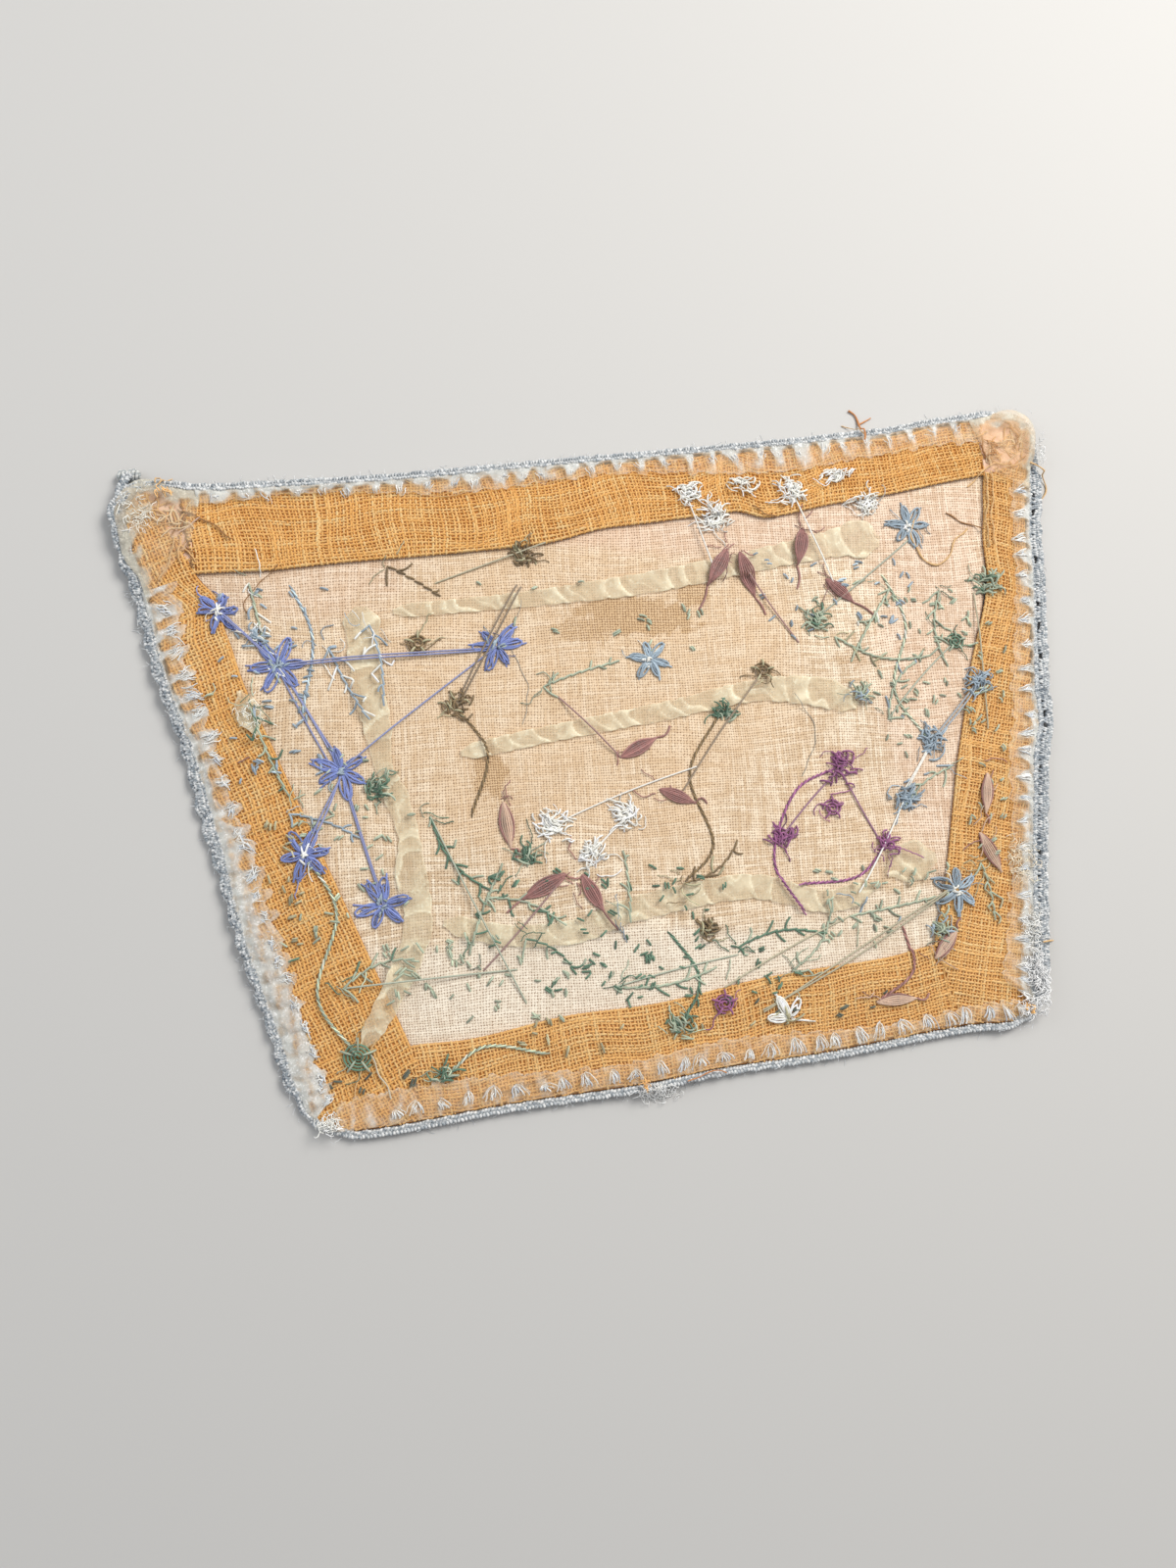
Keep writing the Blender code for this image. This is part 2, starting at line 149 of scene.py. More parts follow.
# Heights and depths of the linen: its top above its underside, its own cloth, and its tuck
LINEN, LINEN_CUT = 1.0, 0.7
TUCK = 4.0
LINEN_CELL = 1.3
THREAD_PITCH = 0.7
GRAIN_TURN = 4.0
CREASES = table(
    Crease,
    (-60, 30, -47, -30, 7, -0.16), (-40, 38, 60, 60, 6, 0.14), (-30, 2, 60, 18, 6, -0.13),
    (-30, -44, 66, -33, 7, 0.15), (20, 62, 96, 30, 8, 0.10), (-90, 30, -60, -50, 9, 0.12),
    (40, -8, 92, -20, 8, -0.10), (-20, 30, 30, -30, 10, 0.08))
# How strongly age has browned the linen, washed it pale, or turned it pink, in patches
AGED = table(Patch, (-8, 15, 62, 46, 0.75), (-70, 5, 26, 40, 0.45), (50, -22, 34, 26, 0.35))
WASHED = table(Patch, (10, -60, 80, 13, 0.85), (-45, -66, 30, 12, 0.7), (70, -48, 26, 11, 0.5))
PINK = table(Patch, (20, 64, 90, 13, 0.6), (92, 25, 20, 55, 0.55), (-80, 44, 30, 14, 0.4))
WORN = table(
    Patch,
    (8.7, 33.4, 15, 4.6, 1), (24, 40.6, 4.6, 3, 0.9), (-29.3, -8.8, 4, 6.4, 0.8), (-6, 29, 8, 3.4, 0.5),
    (66, 24, 5, 3, 0.35))
EDGE_COUNT = 4
# Each stain's attribute, patches, raggedness and seed
STAINS = (("aged", AGED, 0.12, 20), ("washed", WASHED, 0.12, 30), ("pink", PINK, 0.12, 40),
          ("worn", WORN, 0.22, 50))
STAIN_EDGE, STAIN_FADE = 1.25, 0.5
CREASE_END, CREASE_SHARPNESS = 0.03, 2.0
TOP_OVER_BOTTOM = 1.35
UNDER_DIP = 0.36
UNEVEN, UNEVEN_LENGTH = 0.05, 9.0
GRAIN_WANDER, GRAIN_WANDER_LENGTH = 0.7, 40.0
# The gap colour is painted shade for the gaps between the linen's threads.
DARK_FLAX, PALE_FLAX, GAP_SHADE_BROWN = (0.64, 0.475, 0.31, 1), (0.92, 0.785, 0.61, 1), (0.22, 0.105, 0.045, 1)
AGED_BROWN, WORN_BROWN = (0.76, 0.545, 0.345, 1), (0.62, 0.41, 0.215, 1)
PINK_TINGE, WASHED_PALE = (0.76, 0.52, 0.42, 1), (0.88, 0.80, 0.68, 1)


def eased(share):
    """0 to 1 with a level start and end."""
    share = np.clip(share, 0.0, 1.0)
    return share * share * (3.0 - 2.0 * share)


def swayed(rows, along):
    """How far an edge swings out at shares of its length, level at each row."""
    knots = np.array([(0.0, 0.0), *rows, (1.0, 0.0)])
    after = np.clip(np.searchsorted(knots[:, 0], along), 1, len(knots) - 1)
    start, end = knots[after - 1], knots[after]
    share = (along - start[..., 0]) / (end[..., 0] - start[..., 0])
    out = start[..., 1] + (end[..., 1] - start[..., 1]) * eased(share)
    return np.where((along < 0.0) | (along > 1.0), 0.0, out)


def lift(spots):
    """Height of the cloth's underside above the surface, at rows of x and y."""
    height = np.zeros(spots.shape[:-1])
    for row in LIFTS:
        away = (spots[..., 0] - row.x) ** 2 + (spots[..., 1] - row.y) ** 2
        near = 1.0 - away / row.reach ** 2
        height += row.height * np.maximum(0.0, near) ** 2
    return height


def edge_frame(corners, index):
    """Start, direction, outward direction and length of one edge."""
    start = np.array(corners[index % EDGE_COUNT])[:2]
    run = np.array(corners[(index + 1) % EDGE_COUNT])[:2] - start
    length = np.hypot(*run)
    along = run / length
    return start, along, np.array((along[1], -along[0])), length


def window_line(index, share, out_by=0.0):
    """Points beside one edge of the linen's window, at shares of its length."""
    start, along, out, length = edge_frame(WINDOW, index)
    sway = np.broadcast_to(swayed(WINDOW_SWAYS[index % EDGE_COUNT], share) + out_by, share.shape)
    return start + along * length * share[..., None] + out * sway[..., None]


def outside_window(spots):
    """How far points lie outside the window, and below 0 inside it."""
    furthest = np.full(spots.shape[:-1], -1000.0)
    for index in range(EDGE_COUNT):
        start, along, out, length = edge_frame(WINDOW, index)
        share = np.clip((spots - start) @ along / length, 0.0, 1.0)
        far = (spots - start) @ out - swayed(WINDOW_SWAYS[index], share)
        furthest = np.maximum(furthest, far)
    return furthest


def drift(spots, size, seed, layers=5):
    """Smooth unevenness from about -1 to 1, whose waves are about a given size."""
    draw = np.random.default_rng(seed)
    total = np.zeros(spots.shape[:-1])
    for _ in range(layers):
        turn = draw.uniform(0.0, 2.0 * np.pi)
        wave = 2.0 * np.pi / (size * draw.uniform(0.7, 1.6))
        heading = np.array((np.cos(turn), np.sin(turn))) * wave
        total += np.sin(spots[..., :2] @ heading + draw.uniform(0.0, 2.0 * np.pi))
    return total / layers ** 0.5


def creased(spots):
    """The soft troughs and ridges pressed or pulled into the linen."""
    rise = np.zeros(spots.shape[:-1])
    for row in CREASES:
        start, run = np.array((row.x1, row.y1)), np.array((row.x2 - row.x1, row.y2 - row.y1))
        share = np.clip((spots - start) @ run / (run @ run), 0.0, 1.0)
        off = np.linalg.norm(spots - start - run * share[..., None], axis=-1) / row.width
        fade = np.sin(np.pi * np.clip(share, CREASE_END, 1.0 - CREASE_END)) ** 0.5
        rise += row.rise * np.exp(-off ** 2 * CREASE_SHARPNESS) * fade
    return rise


def patched(rows, spots, ragged, seed):
    """How strongly a set of oval patches covers points, with uneven edges."""
    cover = np.zeros(spots.shape[:-1])
    for number, row in enumerate(rows):
        far = np.hypot((spots[..., 0] - row.x) / row.across, (spots[..., 1] - row.y) / row.down)
        far += ragged * drift(spots, 0.7 * min(row.across, row.down) + 1.0, seed + number)
        cover = np.maximum(cover, row.amount * eased((STAIN_EDGE - far) / STAIN_FADE))
    return cover


def linen_top(spots):
    """Height of the linen's upper face."""
    return lift(spots) + LINEN + creased(spots) + UNEVEN * drift(spots, UNEVEN_LENGTH, 3)


def mesh_object(name, places, faces, finish):
    """One smooth closed object from points in millimetres."""
    mesh = bpy.data.meshes.new(name)
    mesh.from_pydata((np.asarray(places) * MM).tolist(), [], [tuple(face) for face in faces])
    mesh.materials.append(finish)
    mesh.shade_smooth()
    return placed(name, mesh)


def cloth_faces(rows, columns):
    """Faces of a closed sheet: the upper points by rows, then the lower ones."""
    upper = np.arange(rows * columns).reshape(rows, columns)
    lower = upper + rows * columns
    faces = []
    for layer, flip in ((upper, False), (lower, True)):
        square = (layer[:-1, :-1], layer[:-1, 1:], layer[1:, 1:], layer[1:, :-1])
        faces += np.stack(square[::-1] if flip else square, -1).reshape(-1, 4).tolist()
    rim = [*upper[0, :-1], *upper[:-1, -1], *upper[-1, :0:-1], *upper[:0:-1, 0]]
    for here, there in zip(rim, rim[1:] + rim[:1]):
        faces.append((there, here, here + rows * columns, there + rows * columns))
    return faces


def mark_points(thing, name, values):
    """Stores a number for each of a mesh's points."""
    layer = thing.data.attributes.new(name, "FLOAT", "POINT")
    layer.data.foreach_set("value", np.ascontiguousarray(values, dtype=np.float32).ravel())


def node(tree, kind, **settings):
    """A new shader node with its settings made and its plain inputs filled."""
    made = tree.nodes.new(kind)
    inputs = settings.pop("inputs", {})
    for key, value in settings.items():
        setattr(made, key, value)
    for key, value in inputs.items():
        if isinstance(value, bpy.types.NodeSocket):
            tree.links.new(value, made.inputs[key])
        else:
            made.inputs[key].default_value = value
    return made


def sums(tree, operation, *terms):
    """The output of one Math node over sockets and numbers."""
    made = node(tree, "ShaderNodeMath", operation=operation,
                inputs={place: term for place, term in enumerate(terms)})
    return made.outputs[0]


def mixed(tree, share, first, second, blend="MIX"):
    """The output of one colour Mix node, over sockets and colours."""
    made = node(tree, "ShaderNodeMix", data_type="RGBA", blend_type=blend,
                inputs={0: share, 6: first, 7: second})
    return made.outputs[2]


def times(tree, value, factor, plus=None):
    """The output of a product, with something added if it is given."""
    if plus is None:
        return sums(tree, "MULTIPLY", value, factor)
    return sums(tree, "MULTIPLY_ADD", value, factor, plus)


def ramp(tree, value, low, high, kind="SMOOTHSTEP", ends=(0.0, 1.0)):
    """The output of a climb from one end to the other as a value goes from low to high."""
    made = node(tree, "ShaderNodeMapRange", interpolation_type=kind,
                inputs={0: value, 1: low, 2: high, 3: ends[0], 4: ends[1]})
    return made.outputs[0]


def noise(tree, place, scale, detail, flat=False, **more):
    """The output of a noise texture, on a plane or in space."""
    made = node(tree, "ShaderNodeTexNoise", noise_dimensions="2D" if flat else "3D",
                inputs={"Vector": place, "Scale": scale, "Detail": detail, **more})
    return made.outputs[0]


def read(tree, name):
    """A number stored on the mesh's points."""
    return node(tree, "ShaderNodeAttribute", attribute_name=name).outputs["Fac"]


def on_piece(tree):
    """Places on the piece itself."""
    return node(tree, "ShaderNodeTexCoord").outputs["Object"]


def dress(tree, surface, colour, height, strength, depth):
    """Joins a colour and a fine relief to the shader."""
    tree.links.new(colour, surface.inputs["Base Color"])
    bump = node(tree, "ShaderNodeBump",
                inputs={"Strength": strength, "Distance": depth, "Height": height})
    tree.links.new(bump.outputs[0], surface.inputs["Normal"])


def new_finish(name, roughness, sheen=0.0):
    """A material with its tree and Principled shader."""
    finish = bpy.data.materials.new(name)
    finish.use_nodes = True
    surface = finish.node_tree.nodes["Principled BSDF"]
    surface.inputs["Roughness"].default_value = roughness
    surface.inputs["Specular IOR Level"].default_value = 0.25
    if sheen:
        surface.inputs["Sheen Weight"].default_value = sheen
        surface.inputs["Sheen Roughness"].default_value = 0.5
    return finish, finish.node_tree, surface


def linen_finish():
    """Plain weave: threads over and under each other, slubs, brown specks and painted shade in the gaps,
    and age.
    """
    finish, tree, surface = new_finish("washed_linen", 0.92, sheen=0.15)
    grain = node(tree, "ShaderNodeUVMap", uv_map="grain").outputs[0]
    apart = node(tree, "ShaderNodeSeparateXYZ", inputs={0: grain}).outputs
    slub = noise(tree, grain, 0.9, 2.0, flat=True, Roughness=0.6)
    swing = times(tree, slub, 0.5, -0.25)
    heights, numbers = [], []
    for axis in (0, 1):
        count = sums(tree, "ADD", apart[axis], swing)
        numbers.append(sums(tree, "FLOOR", count))
        heights.append(sums(tree, "ABSOLUTE", sums(tree, "SINE", times(tree, count, np.pi))))
    turn = sums(tree, "MODULO", sums(tree, "ABSOLUTE", sums(tree, "ADD", *numbers)), 2.0)
    threads = []
    for height, rise, low in zip(heights, (UNDER_DIP, -UNDER_DIP), (1.0 - UNDER_DIP, 1.0)):
        over = times(tree, turn, rise, low)
        threads.append(times(tree, sums(tree, "POWER", height, 0.7), over))
    relief = sums(tree, "MAXIMUM", *threads)
    gap = ramp(tree, relief, 0.34, 0.74, ends=(1.0, 0.0))
    tones = []
    for axis in (0, 1):
        across = node(tree, "ShaderNodeCombineXYZ", inputs={
            axis: times(tree, numbers[axis], 7.31), 1 - axis: times(tree, apart[1 - axis], 0.07)})
        tones.append(noise(tree, across.outputs[0], 1.0, 1.5, flat=True))
    tone = ramp(tree, sums(tree, "ADD", *tones), 0.78, 1.22, kind="LINEAR")
    colour = mixed(tree, tone, DARK_FLAX, PALE_FLAX)
    cloud = noise(tree, grain, 0.12, 3.0, flat=True)
    aged = times(tree, read(tree, "aged"), times(tree, cloud, 1.2, 0.4))
    worn = sums(tree, "ADD", read(tree, "worn"), times(tree, slub, 0.7, -0.35))
    worn = ramp(tree, worn, 0.12, 0.70)
    for share, amount, dye in ((aged, 0.75, AGED_BROWN), (read(tree, "pink"), 0.6, PINK_TINGE),
                               (read(tree, "washed"), 0.75, WASHED_PALE), (worn, 0.7, WORN_BROWN)):
        colour = mixed(tree, times(tree, share, amount), colour, dye)
    # Painted shade in the gaps between threads: darkened towards brown there, broken into specks by a
    # noise, and deeper in worn patches.
    speck = noise(tree, grain, 0.75, 2.0, flat=True)
    depth = times(tree, gap, times(tree, speck, 3.6, -0.95))
    depth = times(tree, depth, times(tree, worn, 3.0, 1.0))
    colour = mixed(tree, sums(tree, "MINIMUM", depth, 0.9), colour, GAP_SHADE_BROWN)
    fibre = noise(tree, grain, 5.0, 2.0, flat=True)
    dress(tree, surface, colour, times(tree, fibre, 0.25, relief), 0.8, 0.00016)
    return finish


def grain_map(thing, spots, pitch, turn=0.0):
    """Thread counts across and along the cloth as a UV map, a little out of true."""
    turned = spots @ np.array(((np.cos(turn), -np.sin(turn)), (np.sin(turn), np.cos(turn))))
    wander = [GRAIN_WANDER * drift(spots, GRAIN_WANDER_LENGTH, seed) for seed in (11, 12)]
    counts = turned + np.stack(wander, -1)
    corners = np.empty(len(thing.data.loops), dtype=np.int32)
    thing.data.loops.foreach_get("vertex_index", corners)
    layer = thing.data.uv_layers.new(name="grain")
    layer.data.foreach_set("uv", (counts / pitch)[corners].astype(np.float32).ravel())


def linen_ground():
    tucked = []
    for index in range(EDGE_COUNT):
        before_out = edge_frame(WINDOW, index - 1)[2]
        corner, _, out, _ = edge_frame(WINDOW, index)
        bisector = before_out + out
        tucked.append(corner + bisector * TUCK / (bisector @ out))
    top_left, bottom_left, bottom_right, top_right = tucked
    columns = round(np.hypot(*(bottom_right - bottom_left)) / LINEN_CELL * TOP_OVER_BOTTOM)
    rows = round(np.hypot(*(top_right - bottom_right)) / LINEN_CELL)
    up = np.linspace(0.0, 1.0, rows + 1)[:, None, None]
    across = np.linspace(0.0, 1.0, columns + 1)[None, :, None]
    left = bottom_left + (top_left - bottom_left) * up
    right = bottom_right + (top_right - bottom_right) * up
    spots = (left + (right - left) * across).reshape(-1, 2)
    upper = np.column_stack((spots, linen_top(spots)))
    lower = np.column_stack((spots, upper[:, 2] - LINEN_CUT))
    cloth = mesh_object("linen", np.vstack((upper, lower)), cloth_faces(rows + 1, columns + 1),
                        linen_finish())
    both = np.vstack((spots, spots))
    grain_map(cloth, both, THREAD_PITCH, radians(GRAIN_TURN))
    for name, patches, ragged, seed in STAINS:
        mark_points(cloth, name, patched(patches, both, ragged, seed))
    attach(cloth, "root")
    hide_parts("linen_ground")


linen_ground()


# Ochre borders: four strips of open, slubby hand-spun weave, folded along the window and
# cut raw at their ends. The threads are woven one by one over a thin sheet of painted shade.
Corner = namedtuple("Corner", "x y round")
Edging = namedtuple("Edging", "width scallop_pitch scallop")
# start and end are marks: 0 at the upper left corner, 1 at the lower left, and so on round
Border = namedtuple("Border", "name index start end seed pitch waves faded")
CORNERS = table(Corner, (-127, 60.8, 9), (-72, -99.3, 11), (116.2, -72.1, 6), (124.9, 99.7, 9))
# The same for each edge of the outline
EDGE_SWAYS = (
    ((0.07, 1.4), (0.16, 0.5), (0.29, 1.3), (0.42, 0.1), (0.56, 0.4), (0.69, 1.2), (0.90, -0.5)),
    ((0.10, 0.3), (0.25, -0.4), (0.43, 0.1), (0.54, -0.6), (0.68, -0.2), (0.88, -1.1)),
    ((0.13, 0.7), (0.40, 0.9), (0.475, 2.6), (0.53, 1.6), (0.69, 0.8), (0.80, -0.4)),
    ((0.12, -1.0), (0.20, -2.5), (0.30, -3.0), (0.70, -3.0), (0.88, -1.9)),
)
EDGINGS = table(Edging, (5, 7, 0.9), (3.4, 5, 0.2), (4.6, 7, 0.4), (2.6, 6, 0.1))
SWAY_FADE = 14.0
CORNER_SPREAD = 9
LEAST_MITRE = 0.7
WIDTH_BLEND = 0.12
RIM_COUNT = 538
BORDERS = table(
    Border,
    ("border_left", 0, -0.039, 1.145, 61, 0.86, 0.5, 0.06),
    ("border_bottom", 1, 1.145, 1.880, 62, 0.85, 0.4, 0.24),
    ("border_right", 2, 1.880, 2.900, 63, 0.84, 0.4, 0.20),
    ("border_top", 3, 3.077, 3.924, 64, 0.85, 0.8, 0.0))
FADED_OCHRE = (1.0, 0.66, 0.30)
OCHRE, SEAM, THREADS_PAST_SEAM = 1.0, 0.05, 0.25
OCHRE_INSETS = (-1.0, -1.3, 0.0, -0.1)
BACKING = 0.42
LINEN_CLEAR = 0.3
STEP_DOWN_FROM, STEP_DOWN_OVER = 5.5, 12.0
THREAD_RADIUS, LEAST_RADIUS, MOST_RADIUS = 0.29, 0.19, 0.44
OVER_UNDER = 0.17
RAW_END = 0.7
OUTLINE_STEPS, BACKING_ROWS, BACKING_GAP = 60, 16, 0.02
WOVEN_REACH, PAST_WINDOW, DEPTH_SPARE = 26.0, 2.2, 1.15
FIRST_WARP, WARP_SPREAD, WEFT_SPREAD = 0.30, 0.07, 0.10
WEFT_WAVE, WARP_WAVE, QUIVER, QUIVER_LENGTH, FOLD_HOLD = 24.0, 20.0, 0.10, 3.0, 4.0
SLUB_LENGTH, SLUB_LAYERS, SLUB_SWELL, THREAD_UNEVEN = 9.0, 3, 0.17, 0.14
SLUB_DYE, DYE_GAIN, TURNED_DOWN = 0.25, 1.2, 0.35
OCHRE_THREADS = ((0.98, 0.545, 0.165), (0.88, 0.425, 0.100), (1.0, 0.71, 0.32))
# Painted shade: the browns of the thin sheet under each border's weave, seen through its gaps.
OCHRE_GAP_SHADES = ((0.40, 0.150, 0.026, 1.0), (0.50, 0.21, 0.05, 1))


def rim_stations():
    """Even stations round the outline: mark, place, and mitred inward step of each."""
    marks, path = [], []
    frames = [edge_frame(CORNERS, index) for index in range(EDGE_COUNT)]
    for index, (start, along, out, length) in enumerate(frames):
        turns, fades = [], []
        for near in (index, index + 1):
            bend = Vector(frames[near - 1][1]).angle(Vector(frames[near % EDGE_COUNT][1]))
            turns.append(bend)
            fades.append(CORNERS[near % EDGE_COUNT].round * tan(bend / 2))
        first, last = fades
        far = np.linspace(first, length - last, round(length) + 1)
        fade = eased(np.minimum(far - first, length - last - far) / SWAY_FADE)
        sway = swayed(EDGE_SWAYS[index], far / length) * fade
        marks.append(index + far / length)
        path.append(start + np.outer(far, along) + np.outer(sway, out))
        radius = CORNERS[(index + 1) % EDGE_COUNT].round
        centre = start + along * (length - last) - out * radius
        share = np.linspace(0.0, 1.0, max(2, round(turns[1] * radius)) + 1)[1:-1]
        angle = turns[1] * share
        spoke = np.outer(np.cos(angle), out) + np.outer(np.sin(angle), along)
        next_length = frames[(index + 1) % EDGE_COUNT][3]
        marks.append(index + 1 - last / length + (last / length + last / next_length) * share)
        path.append(centre + spoke * radius)
    marks, path = np.concatenate(marks), np.vstack(path)
    marks, path = np.append(marks, marks[0] + EDGE_COUNT), np.vstack((path, path[0]))
    travelled = np.append(0.0, np.cumsum(np.linalg.norm(np.diff(path, axis=0), axis=1)))
    even = np.arange(RIM_COUNT) / RIM_COUNT * travelled[-1]
    spots = np.column_stack([np.interp(even, travelled, path[:, axis]) for axis in (0, 1)])
    run = np.roll(spots, -1, 0) - np.roll(spots, 1, 0)
    run /= np.linalg.norm(run, axis=1)[:, None]
    square = np.column_stack((-run[:, 1], run[:, 0]))
    inward = sum(np.roll(square, step, 0) for step in range(-CORNER_SPREAD, CORNER_SPREAD + 1))
    inward /= np.linalg.norm(inward, axis=1)[:, None]
    mitre = 1.0 / np.maximum(LEAST_MITRE, (inward * square).sum(1))
    return np.interp(even, travelled, marks), spots, inward * mitre[:, None], travelled[-1]


RIM_MARKS, RIM_SPOTS, RIM_INWARD, RIM_LENGTH = rim_stations()
RIM_STEP = RIM_LENGTH / RIM_COUNT
STATIONS = np.arange(RIM_COUNT + 1)
CLOSED_MARKS = np.append(RIM_MARKS, RIM_MARKS[0] + EDGE_COUNT)
CLOSED_RIM = [np.vstack((rows, rows[:1])) for rows in (RIM_SPOTS, RIM_INWARD)]


def rim_between(where, stations, depth):
    """Points a given depth inside the outline, between its stations."""
    spots, steps = (np.stack([np.interp(where, stations, rows[:, axis]) for axis in (0, 1)], -1)
                    for rows in CLOSED_RIM)
    return spots + steps * np.asarray(depth)[..., None]


def counted_on(mark):
    """The same place as a mark, counted from the first station."""
    return RIM_MARKS[0] + (np.asarray(mark) - RIM_MARKS[0]) % EDGE_COUNT


def rim_at(mark, depth):
    """Points a given depth inside the outline, at marks round it."""
    return rim_between(counted_on(mark), CLOSED_MARKS, depth)


def by_edge(values, mark):
    """One value for each edge, eased from one to the next round each corner."""
    index = np.floor(mark + 0.5).astype(int)
    share = eased((mark - index) / WIDTH_BLEND + 0.5)
    values = np.array(values)
    before, after = values[(index - 1) % EDGE_COUNT], values[index % EDGE_COUNT]
    return before + (after - before) * share


def edging_width(mark):
    """Width of the crochet band."""
    return by_edge([edging.width for edging in EDGINGS], mark)


def border_under(spots):
    """Underside of the borders: over the linen's tuck, then down to the surface."""
    down = (outside_window(spots) - STEP_DOWN_FROM) / STEP_DOWN_OVER
    return lift(spots) + (LINEN + LINEN_CLEAR) * (1.0 - np.clip(down, 0.0, 1.0))


def inside(outline, spots):
    """Which points lie within a closed outline."""
    found = np.zeros(spots.shape[:-1], dtype=bool)
    x, y = spots[..., 0], spots[..., 1]
    for (x1, y1), (x2, y2) in zip(outline, np.roll(outline, -1, 0)):
        if y1 != y2:
            crosses = (y1 > y) != (y2 > y)
            found ^= crosses & (x < (x2 - x1) * (y - y1) / (y2 - y1) + x1)
    return found


def stored(tree, geometry, name, value, kind):
    """Geometry whose points carry a named value."""
    return node(tree, "GeometryNodeStoreNamedAttribute", data_type=kind, domain="POINT",
                inputs={"Geometry": geometry, "Name": name, "Value": value}).outputs[0]


def spun_thread_tree():
    """Sweeps a round section along every line of a mesh, as thick as its own radius."""
    tree = bpy.data.node_groups.new("spun_thread", "GeometryNodeTree")
    sockets = {}
    for name, way, kind in (("Lines", "INPUT", "Geometry"), ("Sides", "INPUT", "Int"),
                            ("Finish", "INPUT", "Material"), ("Threads", "OUTPUT", "Geometry")):
        made = tree.interface.new_socket(name, in_out=way, socket_type="NodeSocket" + kind)
        sockets[name] = made.identifier
    given = tree.nodes.new("NodeGroupInput").outputs
    thickness = node(tree, "GeometryNodeInputNamedAttribute", data_type="FLOAT",
                     inputs={"Name": "radius_of"}).outputs[0]
    line = node(tree, "GeometryNodeMeshToCurve", inputs={"Mesh": given["Lines"]}).outputs[0]
    far = node(tree, "GeometryNodeSplineParameter").outputs["Length"]
    line = stored(tree, line, "along", far, "FLOAT")
    ring = node(tree, "GeometryNodeCurvePrimitiveCircle", inputs={
        "Resolution": given["Sides"], "Radius": 1.0}).outputs[0]
    place = node(tree, "GeometryNodeInputPosition").outputs[0]
    ring = stored(tree, ring, "round", place, "FLOAT_VECTOR")
    swept = node(tree, "GeometryNodeCurveToMesh", inputs={
        "Curve": line, "Profile Curve": ring, "Scale": thickness, "Fill Caps": True}).outputs[0]
    smooth = node(tree, "GeometryNodeSetShadeSmooth", inputs={"Geometry": swept}).outputs[0]
    whole = node(tree, "GeometryNodeRealizeInstances", inputs={"Geometry": smooth}).outputs[0]
    dyed = node(tree, "GeometryNodeSetMaterial", inputs={"Geometry": whole, "Material": given["Finish"]})
    tree.links.new(dyed.outputs[0], tree.nodes.new("NodeGroupOutput").inputs[0])
    return tree, sockets


SPUN_THREAD, SPUN_SOCKETS = spun_thread_tree()


def spin(name, strands, finish, sides=5):
    """One mesh of swept threads, from strands of (points, radii, colour) in millimetres."""
    counts = [len(points) for points, _, _ in strands]
    places = np.vstack([points for points, _, _ in strands]) * MM
    radii = np.concatenate([np.broadcast_to(radius, len(points)) for points, radius, _ in strands]) * MM
    colours = np.vstack([np.broadcast_to(colour, (len(points), 3)) for points, _, colour in strands])
    starts = np.arange(len(places) - 1)
    joins = np.delete(starts, np.cumsum(counts)[:-1] - 1)
    mesh = bpy.data.meshes.new(name)
    mesh.vertices.add(len(places))
    mesh.edges.add(len(joins))
    mesh.vertices.foreach_set("co", places.astype(np.float32).ravel())
    mesh.edges.foreach_set("vertices", np.column_stack((joins, joins + 1)).astype(np.int32).ravel())
    mesh.attributes.new("radius_of", "FLOAT", "POINT").data.foreach_set("value", radii.astype(np.float32))
    shades = np.column_stack((colours, np.ones(len(places)))).astype(np.float32)
    mesh.attributes.new("tint", "FLOAT_COLOR", "POINT").data.foreach_set("color", shades.ravel())
    lines = placed(name + "_lines", mesh)
    sweep = lines.modifiers.new("spun_thread", "NODES")
    sweep.node_group = SPUN_THREAD
    sweep[SPUN_SOCKETS["Sides"]] = sides
    sweep[SPUN_SOCKETS["Finish"]] = finish
    swept = bpy.data.meshes.new_from_object(lines.evaluated_get(bpy.context.evaluated_depsgraph_get()))
    bpy.data.objects.remove(lines)
    return placed(name, swept)


def thread_finish(name, roughness, twist, groove_shade, sheen=0.25, second_ply_and_shade=None):
    """Spun thread: its own tint, painted shade between its plies, fine fibres, a soft sheen."""
    finish, tree, surface = new_finish(name, roughness, sheen)
    tint = node(tree, "ShaderNodeAttribute", attribute_name="tint").outputs["Color"]
    far = times(tree, read(tree, "along"), twist / MM)
    turned = node(tree, "ShaderNodeCombineXYZ", inputs={
        0: sums(tree, "COSINE", far), 1: sums(tree, "SINE", far)}).outputs[0]
    around = node(tree, "ShaderNodeAttribute", attribute_name="round").outputs["Vector"]
    facing = node(tree, "ShaderNodeVectorMath", operation="DOT_PRODUCT",
                  inputs={0: around, 1: turned}).outputs["Value"]
    ply = times(tree, facing, facing)
    fibre = noise(tree, on_piece(tree), 2600.0, 2.0)
    shade = times(tree, fibre, 0.35, times(tree, ply, groove_shade))
    dark = mixed(tree, 1.0, tint, (1.0 - groove_shade, 1.0 - groove_shade, 1.0 - groove_shade * 0.9, 1), "MULTIPLY")
    colour = mixed(tree, sums(tree, "MINIMUM", shade, 1.0), dark, tint)
    # The second ply's colour is partly the ply's own blue and partly painted shade.
    if second_ply_and_shade:
        ply_and_shade = mixed(tree, times(tree, fibre, 0.7), second_ply_and_shade, tint)
        colour = mixed(tree, ramp(tree, facing, -0.35, 0.35), ply_and_shade, colour)
    dress(tree, surface, colour, times(tree, fibre, 0.4, ply), 0.5, 0.0001)
    return finish


def flecked_finish(name, roughness, sheen, scale, detail, colours, depth, **more):
    """Cloth of two colours flecked into each other, with a fine relief to match."""
    finish, tree, surface = new_finish(name, roughness, sheen)
    fleck = noise(tree, on_piece(tree), scale, detail, **more)
    dress(tree, surface, mixed(tree, fleck, *colours), fleck, 0.5, depth)
    return finish


